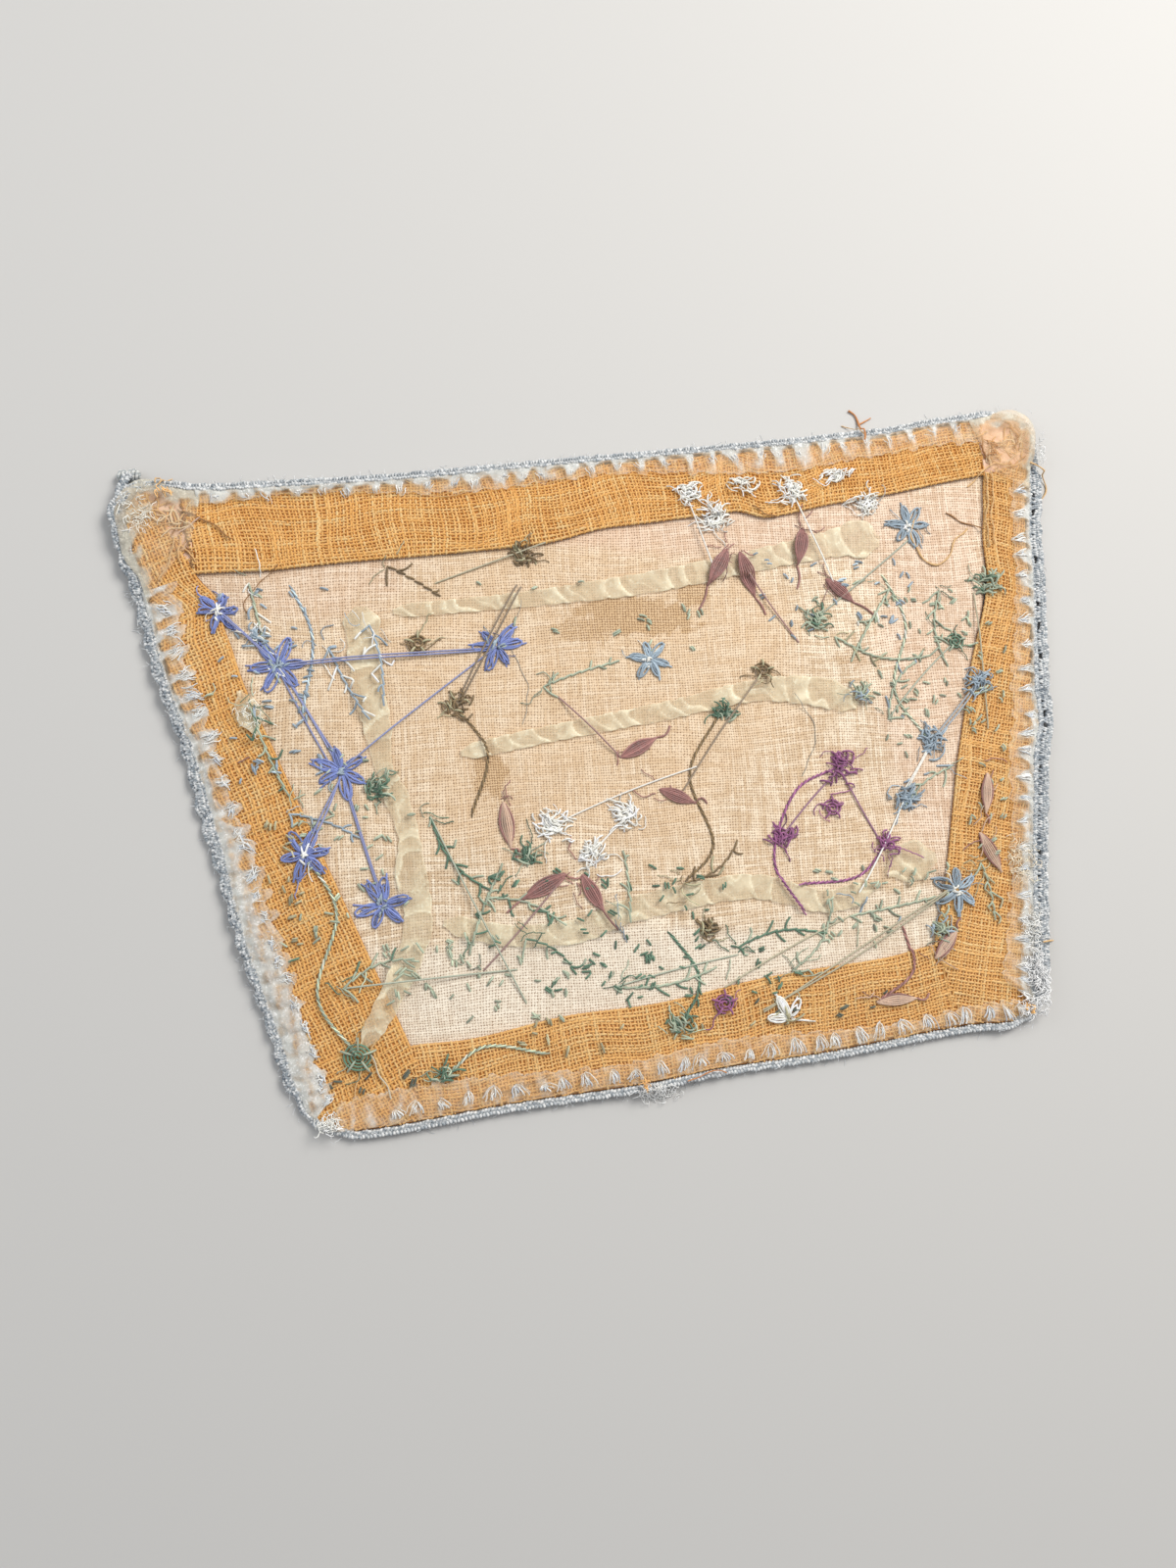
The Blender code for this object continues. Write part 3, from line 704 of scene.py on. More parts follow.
def border_outline(row, seam=SEAM):
    """The strip's cut: along its folded inner edge, then back along the edging."""
    gap = seam / edge_frame(WINDOW, row.index)[3]
    share = np.linspace(gap, 1.0 - gap, OUTLINE_STEPS)
    inner = window_line(row.index, share)
    rim_gap = seam / edge_frame(CORNERS, row.index)[3]
    mark = np.linspace(row.start + rim_gap, row.end - rim_gap, OUTLINE_STEPS)
    outer = rim_at(mark, edging_width(mark) + by_edge(OCHRE_INSETS, mark))
    return inner, outer


def woven(row, outline):
    """Warps along the fold and wefts across it, each over and under the other in turn."""
    draw = np.random.default_rng(row.seed)
    length = edge_frame(WINDOW, row.index)[3]
    along_count = round((length + PAST_WINDOW * WOVEN_REACH) / row.pitch)
    across_count = round(WOVEN_REACH * DEPTH_SPARE / row.pitch)
    far = (np.arange(along_count) - along_count / 2) * row.pitch + length / 2
    deep = np.arange(across_count) * row.pitch + FIRST_WARP
    far = far + draw.normal(0.0, WEFT_SPREAD, along_count)
    deep = deep + draw.normal(0.0, WARP_SPREAD, across_count)
    far_grid, deep_grid = np.meshgrid(far, deep, indexing="ij")
    plain = np.stack((far_grid, deep_grid), -1)
    far_grid = (far_grid + row.waves * drift(plain, WEFT_WAVE, row.seed)
                + QUIVER * drift(plain, QUIVER_LENGTH, row.seed + 1))
    deep_grid = deep_grid + eased(deep_grid / FOLD_HOLD) * (
        row.waves * drift(plain, WARP_WAVE, row.seed + 2)
        + QUIVER * drift(plain, QUIVER_LENGTH, row.seed + 3))
    spots = window_line(row.index, far_grid / length, deep_grid)
    turn = 1.0 - 2.0 * ((np.arange(along_count)[:, None] + np.arange(across_count)[None, :]) % 2)
    middle = border_under(spots) + OCHRE - OVER_UNDER - THREAD_RADIUS
    hue = np.array(OCHRE_THREADS)
    strands = []
    for is_warp in (True, False):
        lines = range(across_count) if is_warp else range(along_count)
        for number in lines:
            pick = (slice(None), number) if is_warp else (number, slice(None))
            places = spots[pick]
            run = np.roll(places, -1, 0) - places
            run[-1] = run[-2]
            run /= np.linalg.norm(run, axis=1)[:, None]
            shown = inside(outline, places + run * draw.uniform(-RAW_END, RAW_END))
            if not is_warp:
                shown[0] |= shown[1]
            height = middle[pick] + (turn[pick] if is_warp else -turn[pick]) * OVER_UNDER
            slub = drift(places, SLUB_LENGTH, row.seed * 1000 + number * 2 + is_warp, SLUB_LAYERS)
            radius = THREAD_RADIUS * np.exp(draw.normal(0.0, THREAD_UNEVEN) + SLUB_SWELL * slub)
            radius = np.clip(radius, LEAST_RADIUS, MOST_RADIUS)
            height = np.maximum(height, border_under(places) + radius)
            blend = draw.uniform(0.0, 1.0) + SLUB_DYE * slub
            colour = hue[0] + (hue[1] - hue[0]) * np.clip(0.5 - blend, 0, 1)[:, None] * DYE_GAIN
            colour = colour + (hue[2] - colour) * np.clip(blend - 0.5, 0, 1)[:, None] * DYE_GAIN
            colour = colour + (np.array(FADED_OCHRE) - colour) * row.faded
            line = np.column_stack((places, height))
            ends = np.flatnonzero(np.diff(np.concatenate(([0], shown.astype(int), [0]))))
            for first, last in zip(ends[::2], ends[1::2]):
                if last - first < 2:
                    continue
                piece, thick, dye = line[first:last], radius[first:last], colour[first:last]
                if not is_warp and first == 0:
                    turned_down = piece[0] + (piece[0] - piece[1]) * (TURNED_DOWN, TURNED_DOWN, 0.0)
                    turned_down[2] = border_under(piece[:1, :2])[0] + thick[0]
                    piece, thick = np.vstack((turned_down, piece)), np.append(thick[0], thick)
                    dye = np.vstack((dye[:1], dye))
                strands.append((piece, thick, dye))
    return strands


def ochre_border(row, thread, gap_shade):
    inner, outer = border_outline(row)
    share = np.linspace(0.0, 1.0, BACKING_ROWS)[None, :, None]
    spots = (inner[:, None] + (outer - inner)[:, None] * share)[:, ::-1]
    flat = spots.reshape(-1, 2)
    under = border_under(flat)
    upper = np.column_stack((flat, under + BACKING))
    lower = np.column_stack((flat, under + BACKING_GAP))
    places = np.vstack((upper, lower))
    base = mesh_object(row.name + "_backing", places, cloth_faces(*spots.shape[:2]), gap_shade)
    wider = border_outline(row, -THREADS_PAST_SEAM)
    threads = woven(row, np.vstack((wider[0], wider[1][::-1])))
    weave = spin(row.name + "_weave", threads, thread, sides=4)
    for piece in (base, weave):
        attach(piece, "root")
    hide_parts(row.name)


ochre_thread = thread_finish("ochre_thread", 0.8, 2.4, 0.35)
# The thin sheet under each weave is painted shade for the weave's gaps.
ochre_gap_shade = flecked_finish("ochre_gap_shade", 0.95, 0.0, 900.0, 3.0, OCHRE_GAP_SHADES, 0.0002)
for border in BORDERS:
    ochre_border(border, ochre_thread, ochre_gap_shade)


# Organza binding: a strip of sheer, crinkled silk folded over each edge and caught down by
# the edging's long stitches, so that it puffs up between them and frays to points inside.
# wide, milk and bite go from the binding's first end to its last: how much deeper than its
# least depth it is, how deep it is milky, and how deep its stitches bite. hem says from
# what share of its depth the hem is doubled, and how milky it is there
Binding = namedtuple("Binding", "name start end depth tooth pitch puff wide milk bite pleat hollow hem")
BINDINGS = table(
    Binding,
    ("binding_left", 0.172, 0.985, 6.0, 2.2, 5.7, 0.75, (0.4, 1.8), (0.8, 6.8), (5.6, 5.2),
     0.3, 0.0, (0.76, 0.42)),
    ("binding_bottom", 1.015, 1.985, 4.4, 0.8, 5.9, 1.0, (3.0, 0.4), (0.0, 0.0), (2.9, 2.9),
     0.5, 1.0, (0.93, 0.35)),
    ("binding_right", 2.015, 2.860, 6.4, 1.0, 6.2, 0.70, (1.6, 0.0), (4.2, 0.5), (4.2, 4.2),
     0.4, 0.0, (0.93, 0.35)),
    ("binding_top", 3.085, 3.910, 4.0, 0.8, 6.4, 0.55, (3.6, -0.2), (0.0, 1.6), (3.4, 3.4),
     0.9, 0.0, (0.93, 0.35)))
GATHER_SHARPNESS = 4
SHEER_CLEAR = 0.45
SILK = 0.14
SHEER_CELL = 0.62
BINDING_WANDER, WANDER_LENGTH = 1.0, 82.0
BAND_LAP, END_SPARE, RAGGED, WAVER = 0.9, 0.3, 0.5, 0.5
CRINKLES = ((0.16, 2.6, 71), (0.10, 1.5, 72), (0.10, 7.0, 73))
SHEER_SINK, SINK_MOST = 0.12, 0.30
PLEAT_SLANT, PLEAT_WIDTH, PLEAT_RISE = 0.42, 0.11, 0.3
MILK_WANDER, MILK_FADE, HOLLOW_FROM, HOLLOW_FADE = 0.5, 0.9, 1.6, 0.8
CREASE_MILK, MOST_MILK = 0.4, 1.3
LATEST_HEM, HEM_FADE, HEM_WANDER = 0.93, 0.05, 9.0
BEAT_DRIFTS = ((0.12, 0.9, 0.0), (0.10, 0.37, 1.0))
CHANGE_PACE, CHANGE_DELAY = 1.25, 0.12
OVER_MARKS = (0.0, 0.15, 0.70, 0.90, 1.0, 3.9, 4.0)
OVER_WIDTHS = (0.7, 1.2, 2.0, 2.8, 0.0, 0.0, 0.7)


def silk_over_band(mark):
    """How far the silk comes out over the edging's band, most at the lower left."""
    return np.interp(mark % EDGE_COUNT, OVER_MARKS, OVER_WIDTHS)


def rim_by(far, depth):
    """Points a given depth inside the outline, at lengths travelled round it."""
    return rim_between(np.asarray(far) / RIM_STEP % RIM_COUNT, STATIONS, depth)


def far_of(mark):
    """Length travelled round the outline at a mark."""
    return np.interp(counted_on(mark), CLOSED_MARKS, STATIONS * RIM_STEP)


def mark_of(far):
    """Mark at a length travelled round the outline."""
    return np.interp(np.asarray(far) % RIM_LENGTH, STATIONS * RIM_STEP, CLOSED_MARKS)


def sheer_under(spots):
    """Underside of the organza, clear of the borders below it."""
    return border_under(spots) + OCHRE + SHEER_CLEAR


def organza_finish(name, clear, milky, thin, thick, crinkle):
    """Sheer silk: a faint veil where it puffs, milky and denser where it is gathered, and where a painted
    highlight is laid into it; a little darker, as painted shade, where its fold noise is low.
    """
    finish, tree, surface = new_finish(name, 0.5, sheen=0.4)
    place = on_piece(tree)
    fibre = noise(tree, place, 1100.0, 4.0, Roughness=0.7, Distortion=1.2)
    fold = noise(tree, place, 260.0, 3.0, Distortion=0.8)
    cloudy = ramp(tree, fold, 0.35, 0.65, kind="LINEAR")
    gathered = read(tree, "folded")
    fibrous = times(tree, ramp(tree, fibre, 0.50, 0.68), times(tree, gathered, 0.8, 0.15))
    veil = times(tree, cloudy, thick - thin, thin)
    veil = times(tree, fibrous, 0.16, veil)
    veil = times(tree, gathered, 0.34, veil)
    tree.links.new(sums(tree, "MINIMUM", veil, 0.9), surface.inputs["Alpha"])
    tone = mixed(tree, sums(tree, "MINIMUM", gathered, 1.0), (*clear, 1), (*milky, 1))
    # Painted shade: the silk is made a little darker where the fold noise, which also gives its relief,
    # is low.
    shade = mixed(tree, 1.0, tone, (0.86, 0.85, 0.84, 1), "MULTIPLY")
    tone = mixed(tree, cloudy, shade, tone)
    pale = tuple(min(1.0, part * 1.25) for part in milky)
    colour = mixed(tree, fibrous, tone, (*pale, 1))
    dress(tree, surface, colour, times(tree, fibre, 0.3, fold), crinkle, 0.0006)
    return finish


def sheer_sheet(name, plan, top, cut, folded, finish):
    """A thin closed sheet over rows of points, from its upper face down."""
    rows, columns = plan.shape[:2]
    flat = plan.reshape(-1, 2)
    upper = np.column_stack((flat, top.ravel()))
    lower = np.column_stack((flat, top.ravel() - cut))
    cloth = mesh_object(name, np.vstack((upper, lower)), cloth_faces(rows, columns), finish)
    mark_points(cloth, "folded", np.tile(folded.ravel(), 2))
    return cloth


def bite_beat(row, far):
    """Whole numbers where a binding is caught down by a stitch, at lengths travelled."""
    beat = (far - far_of(row.start)) / row.pitch
    for size, pace, phase in BEAT_DRIFTS:
        beat = beat + size * np.sin(far * pace + phase)
    return beat


def along_binding(row, far, first, last):
    """A size that changes from one end of a binding to the other."""
    share = (far - far_of(row.start)) / (far_of(row.end) - far_of(row.start))
    return first + (last - first) * eased(share * CHANGE_PACE - CHANGE_DELAY)


def silk_reach(row, far, bite):
    """How far in from the edging a binding comes, furthest at its stitches."""
    wander = BINDING_WANDER * (np.sin(2 * np.pi * far / WANDER_LENGTH) - 1.0)
    return row.depth + wander + along_binding(row, far, *row.wide) + row.tooth * bite ** 3


def bite_depth(row, far):
    """How far in from the edging a binding's stitches come."""
    return np.minimum(along_binding(row, far, *row.bite), silk_reach(row, far, 1.0))


def organza_binding(row, finish):
    first, last = far_of(row.start), far_of(row.end)
    far = np.linspace(first, last, round((last - first) / SHEER_CELL) + 1)[:, None]
    share = np.linspace(0.0, 1.0, round((row.depth + row.tooth) / SHEER_CELL) + 1)[None, :]
    over_band = silk_over_band(mark_of(far))
    outer = edging_width(mark_of(far)) - BAND_LAP - over_band
    beat = bite_beat(row, far)
    bite = np.abs(np.cos(np.pi * beat))
    reach = silk_reach(row, far, bite) + RAGGED * np.sin(far * 3.1) * np.sin(far * 1.7)
    plan = rim_by(far + WAVER * np.sin(far * 2.3) * share, outer + (reach + END_SPARE) * share)
    crown = (1.0 - bite ** 4) * np.sin(np.pi * np.clip(share, 0.04, 0.9) / 0.94) ** 0.8
    crinkle = sum(rise * drift(plan, size, seed) for rise, size, seed in CRINKLES)
    height = sheer_under(plan) - SHEER_SINK + row.puff * crown
    height = height + crinkle * (0.35 + 0.65 * np.sin(np.pi * share))
    nearest = np.round(beat)
    slant = PLEAT_SLANT * np.sin(nearest * 2.4 + row.start)
    pleat = np.exp(-((beat - nearest - slant * (share - 0.3)) / PLEAT_WIDTH) ** 2)
    pleat = pleat * (1.0 - eased((share - 0.6) / 0.4))
    height = height + PLEAT_RISE * row.pleat * pleat
    top = np.maximum(height, sheer_under(plan) - SINK_MOST) + SILK
    milk = along_binding(row, far, *row.milk) + MILK_WANDER * drift(plan, 4.0, 74)
    caught = bite_depth(row, far) + over_band + END_SPARE
    milk = milk + (caught - milk) * bite ** GATHER_SHARPNESS
    folded = eased((milk - reach * share) / MILK_FADE) * (0.85 + 0.3 * drift(plan, 3.0, 75))
    hollow = 1.0 - eased((reach * share - HOLLOW_FROM) / HOLLOW_FADE)
    folded = folded * (1.0 - row.hollow * hollow)
    hem_from, hem_milk = row.hem
    wavy = HEM_WANDER * (LATEST_HEM - hem_from) * drift(plan, 3.0, 76)
    hem = np.clip((share - hem_from) / HEM_FADE + wavy, 0.0, 1.0)
    creased_milk = CREASE_MILK * np.clip(-crinkle * 3.0, 0.0, 1.0)
    folded = np.clip(folded + creased_milk + hem_milk * hem + row.pleat * pleat, 0.0, MOST_MILK)
    cloth = sheer_sheet(row.name + "_silk", plan, top, SILK, folded, finish)
    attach(cloth, "root")
    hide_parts(row.name)


sheer_silk = organza_finish("sheer_silk", (1.0, 0.74, 0.45), (0.82, 0.83, 0.79), 0.05, 0.14, 0.4)
for binding in BINDINGS:
    organza_binding(binding, sheer_silk)


# Corner scraps: the same silk folded twice round the two upper corners, milky beside the
# edging and clear further in, over the frayed ends of the ochre strips; at the upper right
# it is rolled over the edging in a soft rim.
Scrap = namedtuple("Scrap", "name start end inner_start inner_end puff outer milk rolled")
Fill = namedtuple("Fill", "name corner start end top threads seed")
CORNER_SCRAPS = table(
    Scrap,
    ("corner_scrap_top_left", 3.904, 4.190, (-104.0, 47.0), (-108.5, 40.5), 0.6, -2.6, 0.36, 0.0),
    ("corner_scrap_top_right", 2.850, 3.092, (109.5, 77.5), (107.5, 79.5), 0.9, -1.5, 0.24, 1.0))
CORNER_FILLS = table(
    Fill,
    ("corner_scrap_top_left", 0, 3.918, 3.968, 0.55, 26, 101),
    ("corner_scrap_top_right", 3, 2.893, 3.084, 0.75, 34, 102))
ROLLED_RIM = 2.5
BAND_CLEAR = 0.4
FAN_STEPS, FAN_ROWS, FAN_FROM, LINING_CUT = 40, 24, 0.04, 0.3
FRAY_BEND, FRAY_STEP, FRAY_SHORTEST, FRAY_LONGEST = 0.38, 0.7, 7, 15
FRAY_THIN, FRAY_THICK, FRAY_CHANCES = 0.13, 0.27, (0.50, 0.30, 0.15, 0.05)
SCRAP_STEPS, SCRAP_ROWS = 64, 44
ROLL_AT, ROLL_WIDTH, ROLL_SHARE, ROLL_SMOOTH_TO, ROLL_FADE = 0.16, 0.13, 0.55, 0.30, 0.12
SWIRL, SWIRL_ROUND, SWIRL_INWARDS = 0.20, 9.0, 7.0
PINK_SILK = (0.78, 0.56, 0.43)
LINING_COLOURS = ((0.56, 0.33, 0.20, 1), (0.936, 0.672, 0.516, 1))
FRAY_COLOURS = ((0.95, 0.58, 0.24), (1.0, 0.78, 0.48), (0.80, 0.42, 0.15), (0.42, 0.18, 0.06))


def curl(turns, step):
    """Points of a thread that turns as it goes, counted from where it sets off."""
    return np.cumsum(np.column_stack((np.cos(turns), np.sin(turns))) * step, axis=0)


def any_way(draw, bend, count):
    """Headings of a thread that sets off anywhere and bends as it goes."""
    return draw.uniform(0.0, 2 * np.pi) + np.cumsum(draw.normal(0.0, bend, count))


def corner_fill(row, base_finish, thread):
    """The cloth that shows through a scrap: a fan of it, with frayed threads over it."""
    draw = np.random.default_rng(row.seed)
    corner = np.array(WINDOW[row.corner])
    mark = np.linspace(row.start, row.end, FAN_STEPS)
    outer = rim_at(mark, edging_width(mark) - BAND_CLEAR)
    part = np.linspace(FAN_FROM, 1.0, FAN_ROWS)[None, :, None]
    plan = corner + (outer[:, None] - corner) * part
    top = border_under(plan) + row.top + 0.12 * drift(plan, 4.0, row.seed)
    base = sheer_sheet(row.name + "_base", plan, top, LINING_CUT, np.zeros(top.shape), base_finish)
    strands = []
    for _ in range(row.threads):
        here, depth = np.array([draw.uniform(row.start, row.end)]), draw.beta(1.6, 1.6)
        rim_spot = rim_at(here, edging_width(here) + 1.0)[0]
        spot = corner + (rim_spot - corner) * (0.25 + 0.75 * depth)
        count = int(draw.integers(FRAY_SHORTEST, FRAY_LONGEST))
        path = curl(any_way(draw, FRAY_BEND, count), FRAY_STEP)
        spots = spot + path - path[-1] / 2
        arch = 0.75 * draw.uniform() * np.sin(np.linspace(0.2, np.pi - 0.2, count))
        height = border_under(spots) + row.top + 0.25 + arch
        colour = np.array(FRAY_COLOURS[draw.choice(4, p=FRAY_CHANCES)])
        strands.append((np.column_stack((spots, height)), draw.uniform(FRAY_THIN, FRAY_THICK), colour))
    frayed = spin(row.name + "_fray", strands, thread, sides=4)
    for piece in (base, frayed):
        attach(piece, "root")
    return [base, frayed]


def corner_scrap(row, finish, lower):
    first, last = far_of(row.start), far_of(row.end)
    last += RIM_LENGTH * (last < first)
    far = np.linspace(first, last, SCRAP_STEPS)
    around = np.linspace(0.0, 1.0, SCRAP_STEPS)[:, None]
    at_corner = eased((np.sin(np.pi * around[:, 0]) - 0.35) / 0.4)
    mark = mark_of(far)
    beside_band = edging_width(mark) - silk_over_band(mark) - BAND_CLEAR
    outer = rim_by(far, beside_band + (row.outer + BAND_CLEAR) * at_corner)
    inner = np.array(row.inner_start) * (1.0 - around) + np.array(row.inner_end) * around
    part = np.linspace(0.0, 1.0, SCRAP_ROWS)[None, :, None]
    plan = outer[:, None] + (inner - outer)[:, None] * part
    inwards = part[..., 0]
    crown = np.sin(np.pi * around) ** 0.6 * np.sin(np.pi * np.clip(inwards, 0.0, 0.97)) ** 0.7
    rim = row.rolled * at_corner[:, None]
    smooth = rim * eased((ROLL_SMOOTH_TO - inwards) / ROLL_FADE)
    rim = rim * np.exp(-((inwards - ROLL_AT) / ROLL_WIDTH) ** 2) * ROLLED_RIM * ROLL_SHARE
    fold = SWIRL_ROUND * around + SWIRL_INWARDS * inwards
    rough = 1.0 - 0.8 * smooth
    swirl = SWIRL * np.sin(fold + 2.0 * drift(plan, 9.0, 81)) * rough
    crinkle = (0.13 * drift(plan, 3.2, 82) + 0.06 * drift(plan, 1.6, 83)) * rough
    top = sheer_under(plan) + 0.1 + row.puff * crown + rim
    top = top + (swirl + crinkle) * (0.3 + 0.7 * crown) + SILK
    ragged = 0.10 * drift(plan, 5.0, 84) + 0.05 * drift(plan, 2.0, 85)
    folded = 1.15 * eased((row.milk + ragged - inwards) / 0.16)
    folded = folded * (0.8 + 0.4 * np.sin(fold)) + np.clip(-crinkle, 0.0, 0.3)
    folded = folded + (0.72 + 0.25 * drift(plan, 5.0, 86) - folded) * smooth
    cloth = sheer_sheet(row.name + "_silk", plan, top, SILK, np.clip(folded, 0.0, MOST_MILK), finish)
    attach(cloth, "root")
    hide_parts(row.name)


milky_silk = organza_finish("milky_silk", (0.92, 0.70, 0.45), (0.70, 0.66, 0.55), 0.03, 0.10, 0.35)
peach_silk = organza_finish("peach_silk", (1.0, 0.66, 0.34), (0.72, 0.67, 0.55), 0.10, 0.22, 0.25)
pink_silk = flecked_finish("pink_silk", 0.6, 0.3, 420.0, 4.0, LINING_COLOURS, 0.0003, Distortion=1.0)
for scrap, fill, scrap_silk in zip(CORNER_SCRAPS, CORNER_FILLS, (milky_silk, peach_silk)):
    corner_scrap(scrap, scrap_silk, corner_fill(fill, pink_silk, ochre_thread))


# Ribbons: narrow sheer ribbon laid on the linen and couched down in slanting tucks, which
# lie over each other like slates; two short curled scraps of it lie near the sides.
# The turns of each ribbon: x, y and width
RIBBONS = {
    "ribbon_left": (
        (-62.5, 33, 10), (-60.6, 16, 8), (-57.6, 2.5, 7.2), (-55.8, -7.5, 4.6), (-52.4, -15.5, 6.2),
        (-49.2, -25, 5.4), (-48.6, -33.5, 7.6), (-46.8, -42, 7.2), (-47.2, -51, 6.8), (-53.5, -65.9, 6),
        (-59, -76, 4.5)),
    "ribbon_top": (
        (-54.5, 32, 3.6), (-20, 36.8, 4.2), (8.7, 42, 5.8), (35.4, 48.7, 6), (60, 55.3, 7.5),
        (69, 57.4, 10.5), (75.5, 57, 9)),
    "ribbon_middle": (
        (-36.7, -4, 4.4), (-14.4, 1.6, 4.4), (16.3, 8.6, 5), (40, 14.6, 6), (57.5, 14.6, 8.5),
        (67.4, 11.2, 6)),
    "ribbon_bottom": (
        (-40.3, -46.2, 5), (-24, -49.3, 5.5), (-6.8, -48.1, 6), (5.7, -43.1, 6.5), (36.4, -36.7, 6.5),
        (57.2, -40.3, 6), (70.5, -36.6, 5.5)),
    "ribbon_scrap_right": (
        (74, -33, 7), (80.3, -29.9, 11), (87.5, -28.6, 8)),
    "ribbon_scrap_left": (
        (-91, 10, 4), (-88.5, 4.5, 6.5), (-86.5, -1, 4)),
}
TUCK_LEAST, TUCK_BY_WIDTH, TUCK_SLANT = 2.4, 0.62, 0.42
RIBBON_CELL = 0.42
RIBBON_RISE, RIBBON_CLEAR, RIBBON_CURL = 0.17, 0.30, 0.06
RIBBON_COLUMNS = 17
END_TAPER, END_LENGTH = 0.35, 4.0
# The fourth of these is a painted highlight along the edge of each tuck.
PANEL_MILK, PANEL_CHANGE, TUCK_MILK, GLINT_HIGHLIGHT, SELVEDGE_MILK = 0.22, 0.26, 0.34, 0.50, 0.36
SELVEDGE_FROM = 0.90
LEAN, LEAN_CHANGE, WAIST, BELLY = 0.75, 0.65, 0.88, 0.14
SLATE_POWER, SLATE_DROP, SLATE_DROP_OVER = 1.4, 0.70, 0.30
DOUBLED_FROM, DOUBLED_TO, DOUBLED_FADE = 0.60, 0.94, 0.06
GLINT_AT, GLINT_WIDTH = 0.92, 0.04
CLIMB_FROM, CLIMB_OVER = 6.0, 4.0


def smooth_line(points, step):
    """Even points along a smooth curve through a few, with any further columns blended."""
    points = np.array(points, dtype=float)
    before = np.vstack((2 * points[0] - points[1], points[:-1]))
    after = np.vstack((points[1:], 2 * points[-1] - points[-2]))
    pull = (after - before) / 2
    t = np.linspace(0.0, 1.0, 24, endpoint=False)[:, None]
    legs = []
    for here, there, out, into in zip(points, points[1:], pull, pull[1:]):
        legs.append((2 * t ** 3 - 3 * t ** 2 + 1) * here + (t ** 3 - 2 * t ** 2 + t) * out
                    + (3 * t ** 2 - 2 * t ** 3) * there + (t ** 3 - t ** 2) * into)
    dense = np.vstack((*legs, points[-1:]))
    run = np.append(0.0, np.cumsum(np.linalg.norm(np.diff(dense[:, :2], axis=0), axis=1)))
    even = np.linspace(0.0, run[-1], max(2, round(run[-1] / step)) + 1)
    return np.column_stack([np.interp(even, run, column) for column in dense.T]), even


def ribbon_under(spots):
    """Underside of a ribbon: on the linen, and up over a border where it crosses one."""
    over_linen = lift(spots) + LINEN
    climb = eased((outside_window(spots) + CLIMB_FROM) / CLIMB_OVER)
    return over_linen + (border_under(spots) + OCHRE - over_linen) * climb


def side_of(line):
    """Unit steps to the left of a line of points."""
    run = np.gradient(line[:, :2], axis=0)
    run /= np.linalg.norm(run, axis=1)[:, None]
    return np.column_stack((-run[:, 1], run[:, 0]))


def ribbon(number, name, turns, finish):
    line, far = smooth_line(turns, RIBBON_CELL)
    side = side_of(line)
    across = np.linspace(-1.0, 1.0, RIBBON_COLUMNS)[None, :]
    beat = np.cumsum(np.gradient(far) / (TUCK_LEAST + TUCK_BY_WIDTH * line[:, 2]))
    beat = beat + 0.24 * np.sin(far * 0.41 + number) + 0.10 * np.sin(far * 1.1 + 2.0 * number)
    lean = LEAN + LEAN_CHANGE * np.sin(far * 0.29 + 1.7 * number)[:, None]
    wave = beat[:, None] + TUCK_SLANT * (lean * across - 0.5 * across ** 2)
    panel, tuck = np.floor(wave), wave % 1.0
    width = line[:, 2:3] / 2 * (WAIST + BELLY * np.sin(np.pi * (beat[:, None] % 1.0)))
    end = np.minimum(far, far[-1] - far)[:, None]
    width = width * (END_TAPER + (1.0 - END_TAPER) * eased(end / END_LENGTH))
    plan = line[:, None, :2] + side[:, None] * (width * across)[..., None]
    drop = eased((tuck - SLATE_DROP) / SLATE_DROP_OVER)
    slate = RIBBON_RISE * (tuck ** SLATE_POWER) * (1.0 - drop)
    crinkle = 0.03 * drift(plan, 6.0, 91 + number) + 0.02 * drift(plan, 2.5, 94 + number)
    top = ribbon_under(plan) + RIBBON_CLEAR + slate + crinkle + RIBBON_CURL * np.abs(across) + SILK
    doubled = eased((tuck - DOUBLED_FROM) / DOUBLED_FADE)
    doubled = doubled * (1.0 - eased((tuck - DOUBLED_TO) / DOUBLED_FADE))
    # Painted highlight: a thin milky line near the edge of each tuck.
    glint = np.exp(-((tuck - GLINT_AT) / GLINT_WIDTH) ** 2)
    folded = PANEL_MILK + PANEL_CHANGE * np.sin(panel * 2.4 + number) + TUCK_MILK * doubled
    folded = folded + GLINT_HIGHLIGHT * glint + SELVEDGE_MILK * (np.abs(across) > SELVEDGE_FROM)
    folded = folded + 0.16 * drift(plan, 5.0, 96 + number)
    cloth = sheer_sheet(name + "_silk", plan, top, SILK, np.clip(folded, 0.0, MOST_MILK), finish)
    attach(cloth, "root")
    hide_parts(name)


ribbon_silk = organza_finish("ribbon_silk", (0.80, 0.67, 0.45), (0.98, 0.88, 0.65), 0.18, 0.30, 0.10)
for ribbon_number, (ribbon_name, ribbon_turns) in enumerate(RIBBONS.items()):
    ribbon(ribbon_number, ribbon_name, ribbon_turns, ribbon_silk)


